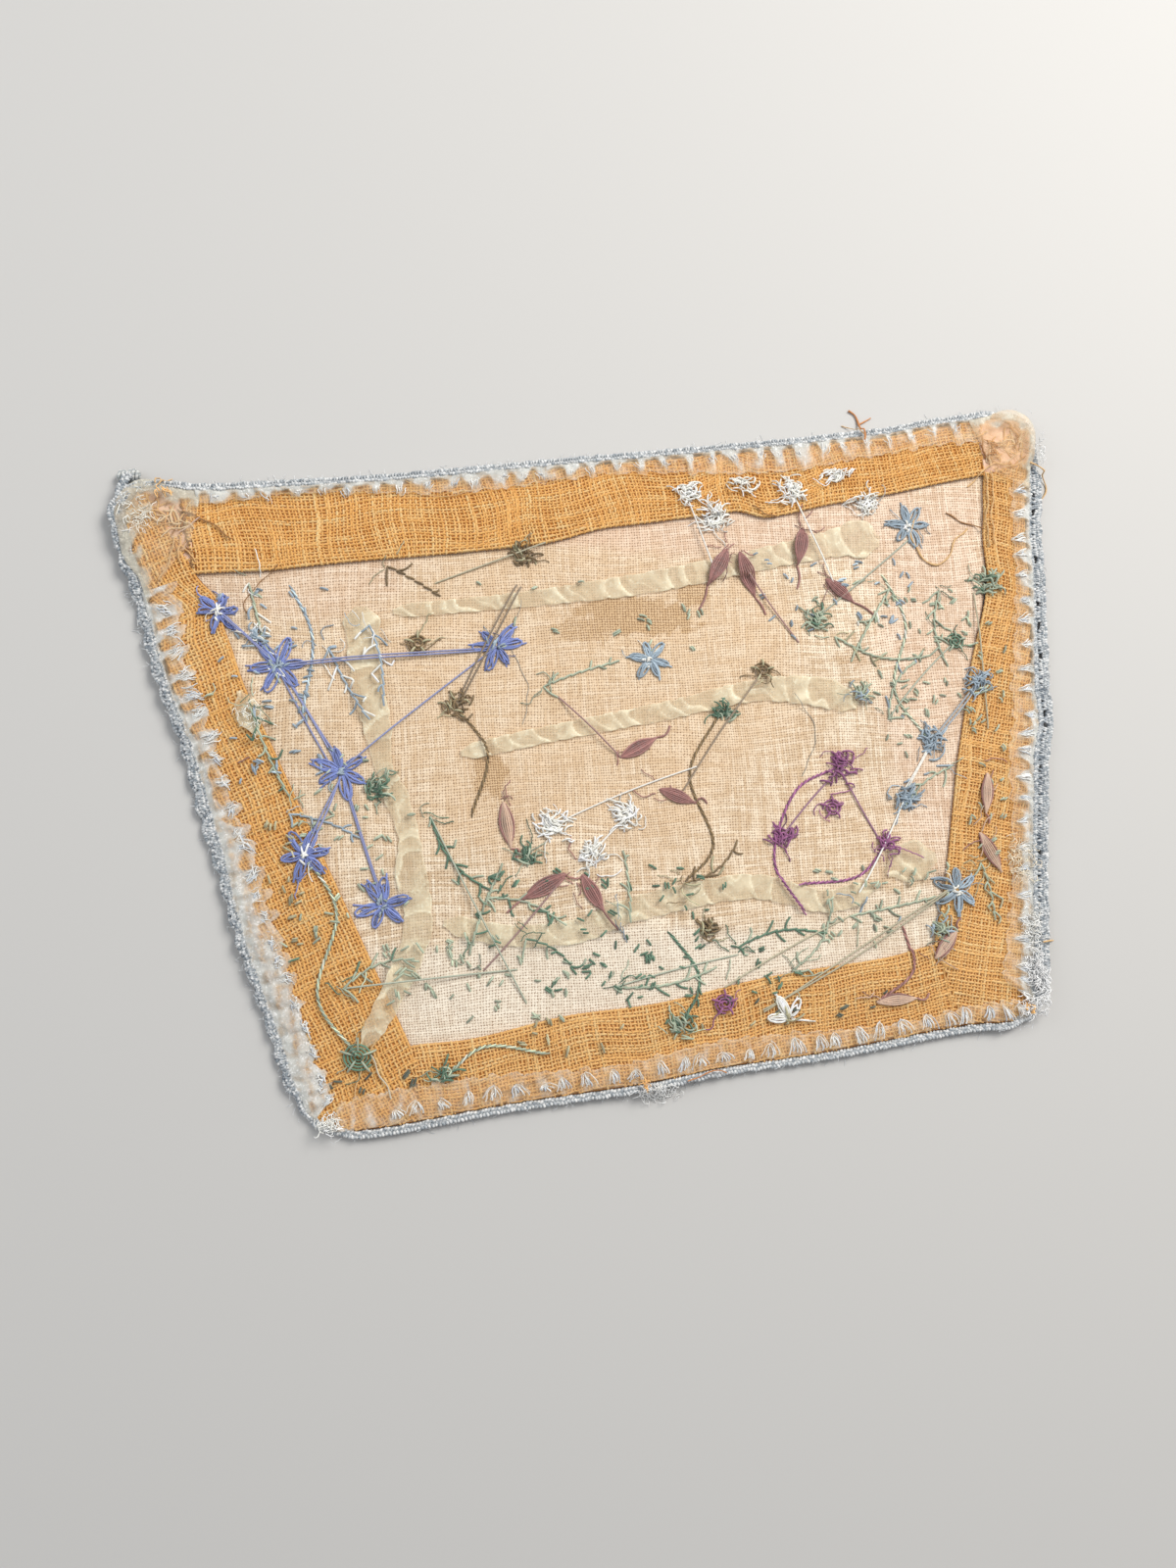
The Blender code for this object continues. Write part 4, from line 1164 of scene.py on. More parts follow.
# Crocheted edging: two-ply yarn, one ply white and one grey-blue, its darkest blue partly
# painted shade between the strands, worked in two rounds on the sides and one at the top and
# bottom, with a chained and knotted tail at the top left.
YARN_BAND = 2.2
YARN_RADIUS = 0.43
YARN_STEP = 0.36
Drawn = namedtuple("Drawn", "mark spread depth")
DRAWN_IN = table(Drawn, (2.97, 15, 2.3), (2, 7, 1.8), (0.985, 10, 2.3), (0.70, 24, 0.8), (0.28, 34, 0.9))
SUNK_BELOW_SILK = 0.18
Plait = namedtuple("Plait", "depth sway pitch")
PLAITS = table(Plait, (1.2, 0.75, 2.3), (1.2, 0.66, 2.6), (1.2, 0.75, 2.3), (1.2, 0.75, 2.3))
WHITENESS = (0.78, 1.05, 0.80, 1.15)
INNER_ROUNDS = ((-0.012, 0.985), (2.03, 2.93))
INNER_DEPTH, INNER_SWAY, INNER_PITCH = 0.95, 0.55, 1.9
POST_PITCH, POST_SLANT, POST_RADIUS = 0.62, 1.1, 0.34
SLIT_SHARE = 0.25
YARN_WHITE, YARN_MIDDLE, YARN_BLUE_AND_SHADE = (0.97, 0.97, 0.94), (0.56, 0.60, 0.62), (0.14, 0.17, 0.205)
MARL_LENGTH, MARL_SWING = 1.3, 0.60
ROUND_LIFT = 0.15
POST_OUTER, POST_LIFT, POST_DROP, POST_POINTS = 0.9, 1.0, 1.25, 6
SLIT_EVERY, SLIT_LONG = 2.5, (1.2, 2.6)
TAIL_MARK = 4.012
TAIL_SWAY, TAIL_BOB, TAIL_PITCH = 0.8, 0.55, 2.4
# Each lobe of the knot: its place from the tail's root, its size, and its turns of yarn
KNOT_LOBES = ((0.4, 6.6, 1.4, 4.5), (2.8, 7.0, 1.4, 4.5), (3.5, 4.7, 0.95, 3.5))
KNOT_FLATNESS, KNOT_POINTS, KNOT_COLOUR = 0.75, 9, (0.80, 0.81, 0.76)
STRANDS = 3


def marled(far, seed, whiteness=0.74):
    """Yarn colours along a strand: white, then grey-blue, in short uneven lengths; the darkest blue is
    partly painted shade.
    """
    draw = np.random.default_rng(seed)
    phase = draw.uniform(0.0, 2 * np.pi, 3)
    swing = np.sin(2 * np.pi * far / MARL_LENGTH + phase[0] + 2.0 * np.sin(far * 0.83 + phase[1]))
    swing = swing + 0.5 * np.sin(far * 9.1 + phase[2])
    share = np.clip(whiteness + MARL_SWING * swing, 0.0, 1.0)[:, None]
    white, middle, blue = (np.array(colour) for colour in (YARN_WHITE, YARN_MIDDLE, YARN_BLUE_AND_SHADE))
    lower, upper = np.clip(share * 2, 0.0, 1.0), np.clip(share * 2 - 1, 0.0, 1.0)
    return blue + (middle - blue) * lower + (white - middle) * upper


def drawn_in(far):
    """How far the yarn lies inside the edge of its band, at the corners and on the left."""
    total = np.zeros(np.shape(far))
    for row in DRAWN_IN:
        away = (far - far_of(row.mark) + RIM_LENGTH / 2) % RIM_LENGTH - RIM_LENGTH / 2
        total = total + row.depth * np.exp(-(away / row.spread) ** 4)
    return total


def scallops(far):
    """How far the edging bulges outwards, in scallops between its tight stitches."""
    mark = mark_of(far)
    bulge = by_edge([edging.scallop for edging in EDGINGS], mark)
    edge = np.floor(mark).astype(int) % EDGE_COUNT
    pitch = np.array([edging.scallop_pitch for edging in EDGINGS])[edge]
    return bulge * np.abs(np.sin(np.pi * far / pitch)) - drawn_in(far)


def plaited(far, depth, sway, turns, middle, bob, seed):
    """Three strands plaited round the outline."""
    strands = []
    for number in range(STRANDS):
        turn = turns + 2 * np.pi * number / STRANDS
        spots = rim_by(far, depth + sway * np.sin(turn))
        sunk = 1.0 - SUNK_BELOW_SILK * drawn_in(far)
        height = lift(spots) + YARN_RADIUS + (middle - YARN_RADIUS + bob * np.sin(2 * turn)) * sunk
        colours = marled(far, seed + number, by_edge(WHITENESS, mark_of(far)))
        strands.append((np.column_stack((spots, height)), YARN_RADIUS, colours))
    return strands


def edging_strands():
    draw = np.random.default_rng(131)
    middle, bob = YARN_BAND / 2, YARN_BAND / 2 - YARN_RADIUS
    far = np.linspace(0.0, RIM_LENGTH, round(RIM_LENGTH / YARN_STEP))
    mark = mark_of(far)
    pitch = by_edge([plait.pitch for plait in PLAITS], mark)
    turns = 2 * np.pi * np.cumsum(YARN_STEP / pitch) + 0.5 * np.sin(far * 0.31)
    depth = by_edge([plait.depth for plait in PLAITS], mark) - scallops(far)
    sway = by_edge([plait.sway for plait in PLAITS], mark) * (1.0 + 0.12 * np.sin(far * 1.3))
    strands = plaited(far, depth, sway, turns, middle, bob, 140)
    for start, end in INNER_ROUNDS:
        last = far_of(end)
        first = far_of(start) - RIM_LENGTH * (far_of(start) > last)
        far = np.arange(first, last, YARN_STEP)
        depth = edging_width(mark_of(far)) - silk_over_band(mark_of(far)) - INNER_DEPTH
        turns = 2 * np.pi * far / INNER_PITCH + 0.6 * np.sin(far * 0.27)
        strands += plaited(far, depth, INNER_SWAY, turns, middle + ROUND_LIFT, bob - ROUND_LIFT, 150)
        slits = 0.0
        for place in np.arange(first + 1.0, last - 1.0, POST_PITCH):
            if place < slits:
                continue
            if draw.uniform() < SLIT_SHARE * POST_PITCH / SLIT_EVERY:
                slits = place + draw.uniform(*SLIT_LONG)
            slant = POST_SLANT * draw.choice((-1.0, 1.0)) * draw.uniform(0.5, 1.2)
            share = np.linspace(0.0, 1.0, POST_POINTS)
            along = place + slant * (share - 0.5)
            outer = POST_OUTER - scallops(along)
            inner = edging_width(mark_of(along)) - silk_over_band(mark_of(along)) - INNER_DEPTH
            spots = rim_by(along, outer + (inner - outer) * share)
            height = lift(spots) + POST_LIFT + (YARN_BAND - POST_DROP) * np.sin(np.pi * share) ** 0.6
            strands.append((np.column_stack((spots, height)), POST_RADIUS,
                            marled(along * 3.0 + 5.0 * share, int(draw.integers(1, 9999)))))
    return strands


def tail_strands():
    """The chained tail and the three small lobes of its knot."""
    root = rim_by(far_of(TAIL_MARK), 1.2)
    steps = [root, root + (0.2, 2.6), root + (1.2, 5.2), root + (2.2, 6.6)]
    line, far = smooth_line([(*spot, 0.0) for spot in steps], YARN_STEP)
    side = side_of(line)
    strands = []
    for number in range(STRANDS):
        turn = 2 * np.pi * (far / TAIL_PITCH + number / STRANDS)
        spots = line[:, :2] + side * (TAIL_SWAY * np.sin(turn))[:, None]
        height = lift(spots) + YARN_BAND / 2 + TAIL_BOB * np.sin(2 * turn)
        strands.append((np.column_stack((spots, height)), YARN_RADIUS, marled(far, 170 + number)))
    for x, y, size, turns in KNOT_LOBES:
        share = np.linspace(0.03, 0.97, int(turns * KNOT_POINTS))
        polar, turn = np.pi * share, 2 * np.pi * turns * share
        reach = np.sin(polar)
        ball = np.column_stack((np.cos(polar), reach * np.cos(turn), reach * np.sin(turn)))
        flat = KNOT_FLATNESS * size
        places = ball * (size, size, flat) + (*(root + (x, y)), flat + YARN_RADIUS)
        strands.append((places, YARN_RADIUS, KNOT_COLOUR))
    return strands


# The second ply's deep blue is partly its own colour and partly painted shade.
yarn = thread_finish("marled_yarn", 0.75, 5.0, 0.30, second_ply_and_shade=(0.15, 0.185, 0.22, 1))
edging = spin("crochet_yarn", edging_strands() + tail_strands(), yarn, sides=5)
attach(edging, "root")
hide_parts("crochet_edging")


# Edging stitches: loops of the edging's own yarn that catch the silk down through the
# ochre, frayed to fuzzy tufts on the left, arched along the bottom and narrow elsewhere.
# skip leaves out a binding's first stitches; blunt frays their tips, and curl bends them
Bites = namedtuple("Bites", "binding skip spread from_edge past radius fibres blunt curl arch")
BITES = table(
    Bites,
    (0, 0, 1.3, 2.3, 0.2, 0.25, 11, 1.0, 0.26, 0.75), (1, 3, 1.9, -0.9, 0.2, 0.28, 7, 0.0, 0.05, 0.42),
    (2, 0, 1.1, 0.3, 0.0, 0.28, 6, 0.1, 0.06, 0.8), (3, 0, 1.0, 0.2, 0.0, 0.22, 4, 0.5, 0.06, 0.8))
BITE_POINTS, TIP_SPREAD, LEAN_SPREAD, LEG_SPREAD, TIP_ROUND = 8, 0.45, 0.5, 0.15, 1.6
VEIL_CLEAR, VEIL_PUFF, DIVE_FROM = 0.20, 0.35, 0.72
THIN_LEG, THICK_LEG, LEG_TAPER = 0.45, 0.85, 0.35
BITE_COLOURS = ((0.95, 0.95, 0.92), (0.66, 0.71, 0.77), (0.86, 0.87, 0.84), (1.0, 0.99, 0.95))


def bite_strands():
    draw = np.random.default_rng(181)
    share = np.linspace(0.0, 1.0, BITE_POINTS)
    strands = []
    for row in BITES:
        binding = BINDINGS[row.binding]
        far = np.linspace(far_of(binding.start), far_of(binding.end), 2000)
        beat = bite_beat(binding, far)
        for count in range(int(np.ceil(beat[0])) + row.skip, int(beat[-1]) + 1):
            place = np.interp(count, beat, far)
            width = edging_width(mark_of(place))
            tip = width + bite_depth(binding, place) + row.past + draw.normal(0.0, TIP_SPREAD)
            tip -= row.blunt * draw.uniform(0.0, 1.2)
            base = width + along_binding(binding, place, 0.0, row.from_edge - 0.2) + 0.2
            lean = draw.normal(0.0, LEAN_SPREAD + 0.4 * row.blunt)
            spread = row.spread * draw.uniform(0.7, 1.3)
            legs = np.linspace(-1.0, 1.0, row.fibres) + draw.normal(0.0, LEG_SPREAD, row.fibres)
            for leg in legs:
                near = base + draw.uniform(0.0, 1.2 + row.blunt)
                end = tip - (1.0 - abs(leg)) * draw.uniform(0.0, TIP_ROUND) + draw.uniform(-0.4, 0.3)
                end -= row.blunt * draw.uniform(0.0, 1.5)
                wander = row.curl * np.cumsum(draw.normal(0.0, 1.0, len(share))) * share
                along = place + lean * (1.0 - share) + leg * spread * (1.0 - share) ** row.arch
                along = along + leg * row.blunt * share + wander
                along = along + 0.14 * np.sin(share * draw.uniform(4.0, 9.0))
                spots = rim_by(along, near + (end - near) * share)
                veil = sheer_under(spots) + VEIL_CLEAR + binding.puff * VEIL_PUFF * np.sin(np.pi * share)
                cloth = border_under(spots) + OCHRE + row.radius * 0.3
                height = veil + (cloth - veil) * eased((share - DIVE_FROM) / (1.0 - DIVE_FROM))
                tint = np.array(BITE_COLOURS[draw.integers(0, 4)]) * draw.uniform(0.85, 1.05)
                radius = row.radius * draw.uniform(THIN_LEG, THICK_LEG) * (1.0 - LEG_TAPER * share)
                strands.append((np.column_stack((spots, height)), radius, tint))
    return strands


pale_thread = thread_finish("pale_thread", 0.6, 3.2, 0.12, sheen=0.4)
bites = spin("edging_stitches", bite_strands(), pale_thread, sides=4)
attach(bites, "root")


# Embroidery, seen from its wrong side: flowers, leaves, sprigs, knots and seeds in floss,
# with the long floats that carried each colour from one motif to the next.
FLOSS = 0.27
FLOSS_STEP, SHORT_STEP = 0.85, 0.6
SINK = 0.5
SEWN_INSET = 10.0
FLOAT_FADE, FADED = 0.22, (0.75, 0.66, 0.60)
# The least count of cut ends beside a motif, and one more than the most
CUT_ENDS = 2, 7
# A floss colour is white when its least part is above this
WHITE_FROM = 0.66
PETALS, PETAL_FILLING, KNOT_STITCHES = 6, 4, 7
TUFT_SPREAD, TUFT_TURNS, TUFT_COUNT, WHITE_TUFT_COUNT = 0.36, (0.0, 70.0, 130.0), 9.0, 13.0
LEAF_STITCHES, SPRIG_STITCH, COIL_SPOKES = 7, 2.6, 5
# The last two lighten and darken alternate stem stitches as painted light and shade.
STEM_STEP, STEM_SLANT, STEM_LIT, STEM_SHADED = 1.2, 0.30, 1.5, 0.75
WHITE, MAUVE, PERIWINKLE = (1.0, 0.98, 0.90), (0.46, 0.22, 0.19), (0.27, 0.34, 0.70)
SAGE, FOREST, SKY = (0.57, 0.65, 0.47), (0.15, 0.28, 0.18), (0.47, 0.58, 0.65)
PURPLE, BRONZE, OLIVE = (0.42, 0.14, 0.31), (0.30, 0.20, 0.09), (0.62, 0.57, 0.34)
PEACH, DARK_STUB = (0.80, 0.56, 0.40), (0.12, 0.14, 0.10)
Motif = namedtuple("Motif", "kind x y size turn colour second")
MOTIFS = [Motif(kind, *row) for kind, rows in (
    # Small six-petalled flowers with knotted centres
    ("flower", (
        (-82, 17, 6.6, 10, PERIWINKLE, SKY), (-66, -9, 6, 40, PERIWINKLE, SKY),
        (-74, -30, 5.2, 70, PERIWINKLE, WHITE), (-55, -42, 6.2, 20, PERIWINKLE, SKY),
        (-28, 24, 5.4, 5, PERIWINKLE, SKY), (-97, 30, 4.6, 15, PERIWINKLE, WHITE),
        (47, -70, 5, 0, WHITE, OLIVE), (93, -37, 5.2, 30, SKY, WHITE), (12, 22, 4.6, 50, SKY, WHITE),
        (84, 62, 5, 50, SKY, WHITE))),
    # Loose clusters of looped white and blue stitches
    ("tuft", (
        (22, 68, 5.4, 0, WHITE, WHITE), (37, 72, 4.4, 20, WHITE, WHITE), (30, 61, 4.8, 50, WHITE, WHITE),
        (51, 69, 5.2, 10, WHITE, WHITE), (64, 76, 4.6, 70, WHITE, WHITE), (72, 67, 4, 30, WHITE, WHITE),
        (46, 79, 3.6, 30, WHITE, WHITE), (-14, -22, 5, 0, WHITE, WHITE),
        (-3, -29, 4.2, 40, WHITE, WHITE), (6, -19, 4.6, 80, WHITE, WHITE), (88, 2, 5, 0, SKY, SKY),
        (80, -13, 4.2, 0, SKY, SKY), (101, 18, 4.2, 0, SKY, SKY), (-94, -22, 4.4, 0, SAGE, FOREST),
        (-40, -84, 4.6, 0, FOREST, SAGE), (18, -72, 3.8, 0, SAGE, FOREST), (106, 46, 4, 0, SAGE, FOREST),
        (62, -5, 5.2, 0, PURPLE, PURPLE), (46, -24, 3.8, 0, PURPLE, PURPLE),
        (74, -26, 3.4, 0, PURPLE, PURPLE), (-38, 8, 3.6, 0, BRONZE, OLIVE),
        (-22, 48, 3.4, 0, BRONZE, OLIVE), (31, 8, 3.4, 0, FOREST, SAGE), (56, 34, 4, 0, SAGE, FOREST))),
    # Satin leaves
    ("leaf", (
        (33, 53, 12, -118, MAUVE, MAUVE), (36, 52, 13, -70, MAUVE, MAUVE),
        (54, 60, 11, -100, MAUVE, MAUVE), (60, 46, 10, -40, MAUVE, MAUVE),
        (-10, -34, 13, -150, MAUVE, MAUVE), (-6, -34, 11, -60, MAUVE, MAUVE),
        (4, -4, 11, 30, MAUVE, MAUVE), (14, -12, 10, -20, MAUVE, MAUVE),
        (-84, -40, 11, -75, PEACH, MAUVE), (-92, -8, 10, -110, PEACH, MAUVE),
        (-4, -84, 12, 20, PEACH, MAUVE), (70, -66, 11, 5, PEACH, MAUVE),
        (103, -6, 11, -95, PEACH, MAUVE), (100, -22, 12, -60, PEACH, MAUVE),
        (-26, -16, 12, -80, PEACH, MAUVE), (86, -55, 10, 50, PEACH, MAUVE))),
    # Feathery sprigs
    ("sprig", (
        (-90, 38, 26, -72, SAGE, WHITE), (-70, 22, 22, -60, SKY, WHITE), (-88, 6, 24, -66, SAGE, FOREST),
        (-44, -20, 24, -50, FOREST, SAGE), (-30, -40, 22, -20, SAGE, FOREST),
        (-16, 14, 22, 20, SAGE, SAGE), (2, -62, 26, 10, SAGE, FOREST), (34, -52, 24, 8, FOREST, SAGE),
        (62, 30, 26, -10, SAGE, OLIVE), (92, 44, 22, -85, SAGE, SAGE), (76, 8, 20, 60, SAGE, SKY),
        (64, -44, 24, 12, SAGE, SKY), (-64, -62, 20, 20, SAGE, FOREST), (100, -30, 18, -80, SAGE, OLIVE),
        (20, -36, 20, 40, BRONZE, OLIVE), (-56, 44, 18, -30, BRONZE, OLIVE),
        (-34, -54, 24, 70, SAGE, FOREST), (6, -46, 20, 95, SAGE, SKY), (48, -58, 22, 60, SAGE, SAGE),
        (-78, -20, 20, -20, SKY, SAGE), (-60, 28, 22, -80, SKY, WHITE), (78, 44, 24, -120, SAGE, WHITE),
        (-20, -50, 18, -40, FOREST, SAGE), (94, -4, 20, -140, SAGE, SKY),
        (-84, -66, 18, 60, OLIVE, SAGE), (12, -84, 18, 25, OLIVE, SAGE))),
    ("tuft", (
        (-58, -14, 3.6, 0, FOREST, SAGE), (-20, -30, 3.4, 0, FOREST, SAGE), (68, 14, 3.2, 0, SAGE, SKY),
        (88, -48, 3.4, 0, SAGE, SKY), (-88, 24, 3.4, 0, SKY, WHITE), (26, -48, 3, 0, BRONZE, OLIVE))),
    # Small coiled knots
    ("coil", (
        (42, 20, 2.2, 0, BRONZE, OLIVE), (-48, 24, 2.4, 0, BRONZE, OLIVE),
        (-60, -78, 3.4, 0, FOREST, SAGE), (-100, 8, 2, 0, SAGE, SAGE), (30, -66, 2.4, 0, PURPLE, PURPLE),
        (96, 30, 2.2, 0, FOREST, SAGE), (-78, -56, 2.6, 0, SAGE, FOREST),
        (60, -16, 2.2, 0, PURPLE, PURPLE))),
) for row in rows]
Float = namedtuple("Float", "x1 y1 x2 y2 strands colour")
FLOATS = table(
    Float,
    (-82, 17, -66, -9, 3, PERIWINKLE), (-66, -9, -55, -42, 2, PERIWINKLE),
    (-74, -30, -66, -9, 2, PERIWINKLE), (-82, 17, -28, 24, 2, PERIWINKLE),
    (-97, 30, -82, 17, 2, PERIWINKLE), (-28, 24, -66, -9, 1, PERIWINKLE), (22, 66, 30, 46, 1, WHITE),
    (51, 69, 62, 44, 1, WHITE), (-14, -22, 24, -6, 1, WHITE), (6, -19, -3, -29, 2, WHITE),
    (88, 2, 80, -13, 2, WHITE), (101, 18, 88, 2, 2, SKY), (80, -13, 66, -38, 1, WHITE),
    (36, 50, 52, 28, 1, MAUVE), (-10, -34, -30, -58, 1, MAUVE), (4, -4, -12, 12, 1, MAUVE),
    (62, -5, 74, -26, 1, PURPLE), (46, -24, 62, -5, 1, PURPLE), (-38, 8, -22, 40, 2, BRONZE),
    (42, 20, 20, -12, 1, BRONZE), (-44, -20, -20, -66, 1, SAGE), (40, -68, 92, -36, 2, OLIVE),
    (102, 44, 104, 6, 1, OLIVE), (76, 8, 96, 30, 1, SAGE), (-92, -8, -86, -36, 1, OLIVE),
    (-64, -62, -22, -58, 1, SAGE), (2, -62, 34, -54, 1, SAGE), (56, 34, 84, 58, 1, SAGE),
    (-44, 40, -16, 52, 1, OLIVE), (64, -44, 30, -62, 1, OLIVE))
Stem = namedtuple("Stem", "points colour")
STEMS = table(
    Stem,
    (((62, -5), (50, -12), (44, -30), (52, -44)), PURPLE), (((74, -26), (66, -34), (50, -36)), PURPLE),
    (((-38, 8), (-30, -4), (-34, -20)), BRONZE), (((30, 8), (22, -8), (28, -26), (20, -36)), BRONZE),
    (((-74, -30), (-66, -44), (-70, -64), (-60, -78)), SAGE), (((-80, 38), (-74, 24), (-76, 4)), SKY),
    (((88, 2), (78, 16), (82, 34), (76, 48)), SAGE), (((18, -72), (24, -60), (16, -48)), FOREST),
    (((70, -66), (80, -58), (78, -46)), MAUVE), (((-40, -84), (-30, -76), (-14, -78)), SAGE))
SeedBed = namedtuple("SeedBed", "x y across down count colour")
SEED_BEDS = table(
    SeedBed,
    (-84, 12, 14, 26, 44, SKY), (-62, -28, 14, 22, 40, SAGE), (-30, -60, 26, 9, 46, SAGE),
    (20, -58, 34, 7, 46, FOREST), (74, -40, 18, 9, 34, SAGE), (86, 22, 16, 24, 50, SAGE),
    (62, 40, 22, 12, 30, SKY), (0, -42, 30, 10, 40, FOREST), (-82, -46, 8, 24, 34, OLIVE),
    (30, -76, 56, 7, 44, OLIVE), (104, 10, 6, 40, 36, SAGE), (-4, 30, 30, 12, 16, SAGE),
    (-64, -86, 20, 6, 20, DARK_STUB), (60, -70, 40, 5, 22, DARK_STUB))
RIBBON_TOP, RIBBON_SIDE = 1.25, 0.6
RIBBON_LINES = np.vstack([smooth_line(turns, 1.0)[0] for turns in RIBBONS.values()])
Laid = namedtuple("Laid", "spots radius colour rise taut")


def cloth_top(spots):
    """Height of whatever cloth lies uppermost: linen, a border, or a ribbon on either."""
    bordered = outside_window(spots) > -0.2
    top = np.where(bordered, border_under(spots) + OCHRE + 0.08, linen_top(spots))
    nearest = np.full(len(spots), 100.0)
    for line in RIBBON_LINES:
        away = np.hypot(spots[:, 0] - line[0], spots[:, 1] - line[1]) - line[2] / 2
        nearest = np.minimum(nearest, away)
    over_ribbon = ribbon_under(spots) + RIBBON_TOP * (1.0 - eased(nearest / RIBBON_SIDE))
    return np.maximum(top, np.where(nearest < RIBBON_SIDE, over_ribbon, 0.0))


def laid_on_cloth(pieces):
    """Strands resting on the cloth, from threads drawn in plan; taut ones span its hollows."""
    tops = np.split(cloth_top(np.vstack([piece.spots for piece in pieces])),
                    np.cumsum([len(piece.spots) for piece in pieces])[:-1])
    strands = []
    for piece, top in zip(pieces, tops):
        height = top + piece.radius * 0.75
        if piece.taut:
            for _ in range(4 * len(height)):
                height[1:-1] = np.maximum(height[1:-1], (height[:-2] + height[2:]) / 2)
        share = np.linspace(0.0, 1.0, len(height))
        height = height + piece.rise * np.sin(np.pi * share) ** 0.5
        height[[0, -1]] -= SINK * piece.radius
        strands.append((np.column_stack((piece.spots, height)), piece.radius, piece.colour))
    return strands


def straight(start, end, colour, radius=FLOSS, rise=0.12, bow=0.0, taut=False, step=FLOSS_STEP):
    """One stitch between two points, a little bowed."""
    start, end = np.asarray(start, dtype=float), np.asarray(end, dtype=float)
    run = end - start
    length = max(np.hypot(*run), 0.1)
    share = np.linspace(0.0, 1.0, max(4, round(length / step) + 1))[:, None]
    side = np.array((-run[1], run[0])) / length
    return Laid(start + run * share + side * bow * np.sin(np.pi * share), radius, colour, rise, taut)


def shaded(colour, draw, amount=0.12):
    """A floss colour, a little lighter or darker."""
    return tuple(np.clip(np.array(colour) * draw.normal(1.0, amount), 0.0, 1.0))


def spot_of(row):
    """Where a row's motif lies."""
    return np.array((row.x, row.y))


def heading(turn):
    """A unit step at an angle in degrees."""
    return np.array((np.cos(np.radians(turn)), np.sin(np.radians(turn))))


def flower(row, draw):
    centre, pieces = spot_of(row), []
    for petal in range(PETALS):
        turn = row.turn + 360 // PETALS * petal + draw.normal(0.0, 6.0)
        long = row.size * draw.uniform(0.8, 1.15)
        out, side = heading(turn), heading(turn + 90)
        share = np.linspace(0.0, 1.0, 12)[:, None]
        bulge = np.sin(2 * np.pi * share) * long * 0.20
        reach = (1.0 - np.cos(2 * np.pi * share)) / 2 * long
        loop = centre + out * (reach + 0.8) + side * bulge
        pieces.append(Laid(loop, FLOSS, shaded(row.colour, draw), 0.2, False))
        for _ in range(PETAL_FILLING):
            start = centre + out * draw.uniform(0.2, 1.2) + side * draw.normal(0.0, 0.2)
            end = centre + out * (long + draw.uniform(-1.0, 2.0)) + side * draw.normal(0.0, 0.6)
            pieces.append(straight(start, end, shaded(row.colour, draw, 0.2), rise=0.3,
                                   bow=draw.normal(0.0, 0.4), radius=FLOSS * draw.uniform(0.6, 1.0)))
    for _ in range(KNOT_STITCHES):
        off = draw.normal(0.0, 0.7, 2)
        pieces.append(straight(centre + off - 0.6, centre + off + draw.normal(0.0, 1.0, 2),
                               shaded(row.second, draw), rise=0.8))
    return pieces


def tuft(row, draw):
    pieces = []
    is_white = row.colour == WHITE
    thick = FLOSS * (0.85 if is_white else 0.95)
    for _ in range(int(row.size * (WHITE_TUFT_COUNT if is_white else TUFT_COUNT))):
        spot = spot_of(row) + draw.normal(0.0, row.size * TUFT_SPREAD, 2)
        turn = row.turn + draw.choice(TUFT_TURNS) + draw.normal(0.0, 18.0)
        end = spot + heading(turn) * draw.uniform(1.4, 3.6)
        colour = row.colour if draw.uniform() < 0.7 else row.second
        pieces.append(straight(spot, end, shaded(colour, draw), rise=draw.uniform(0.2, 1.1),
                               bow=draw.normal(0.0, 0.5), radius=thick * draw.uniform(0.7, 1.15),
                               step=SHORT_STEP))
    return pieces


def leaf(row, draw):
    pieces = []
    base, out, side = spot_of(row), heading(row.turn), heading(row.turn + 90)
    middle = LEAF_STITCHES // 2
    for number in range(LEAF_STITCHES):
        off = (number - middle) / middle
        bow = off * row.size * 0.12
        start = base + side * off * 0.35 + out * abs(off) * 0.5
        end = base + out * row.size * (1.0 - 0.10 * abs(off)) + side * off * 0.25
        colour = row.second if abs(off) > 0.9 else row.colour
        pieces.append(straight(start, end, shaded(colour, draw, 0.15), rise=0.25, bow=bow,
                               radius=FLOSS * draw.uniform(0.85, 1.1)))
    pieces.append(straight(base + out * row.size, base + out * (row.size + draw.uniform(2.0, 7.0)) + side,
                           shaded(row.second, draw), bow=draw.normal(0.0, 0.6)))
    return pieces


def sprig(row, draw):
    pieces = []
    base, out, side = spot_of(row), heading(row.turn), heading(row.turn + 90)
    curve = draw.uniform(-0.15, 0.15) * row.size
    for number in range(int(row.size / SPRIG_STITCH)):
        share = number * SPRIG_STITCH / row.size
        spot = base + out * row.size * share + side * curve * np.sin(np.pi * share)
        after = base + out * row.size * (share + 0.13) + side * curve * np.sin(np.pi * (share + 0.13))
        pieces.append(straight(spot - side * 0.2, after + side * 0.2, shaded(row.colour, draw), rise=0.2))
        if draw.uniform() < 0.25:
            continue
        flip = 1.0 if number % 2 else -1.0
        long = draw.uniform(2.4, 5.2) * (1.0 - 0.4 * share)
        tip = spot + heading(row.turn + flip * draw.uniform(32.0, 62.0)) * long
        colour = row.colour if draw.uniform() < 0.6 else row.second
        pieces.append(straight(spot, tip, shaded(colour, draw), bow=draw.normal(0.0, 0.3)))
        if draw.uniform() < 0.35:
            pieces.append(straight(tip, tip + draw.normal(0.0, 1.3, 2), shaded(row.second, draw),
                                   step=SHORT_STEP))
    return pieces


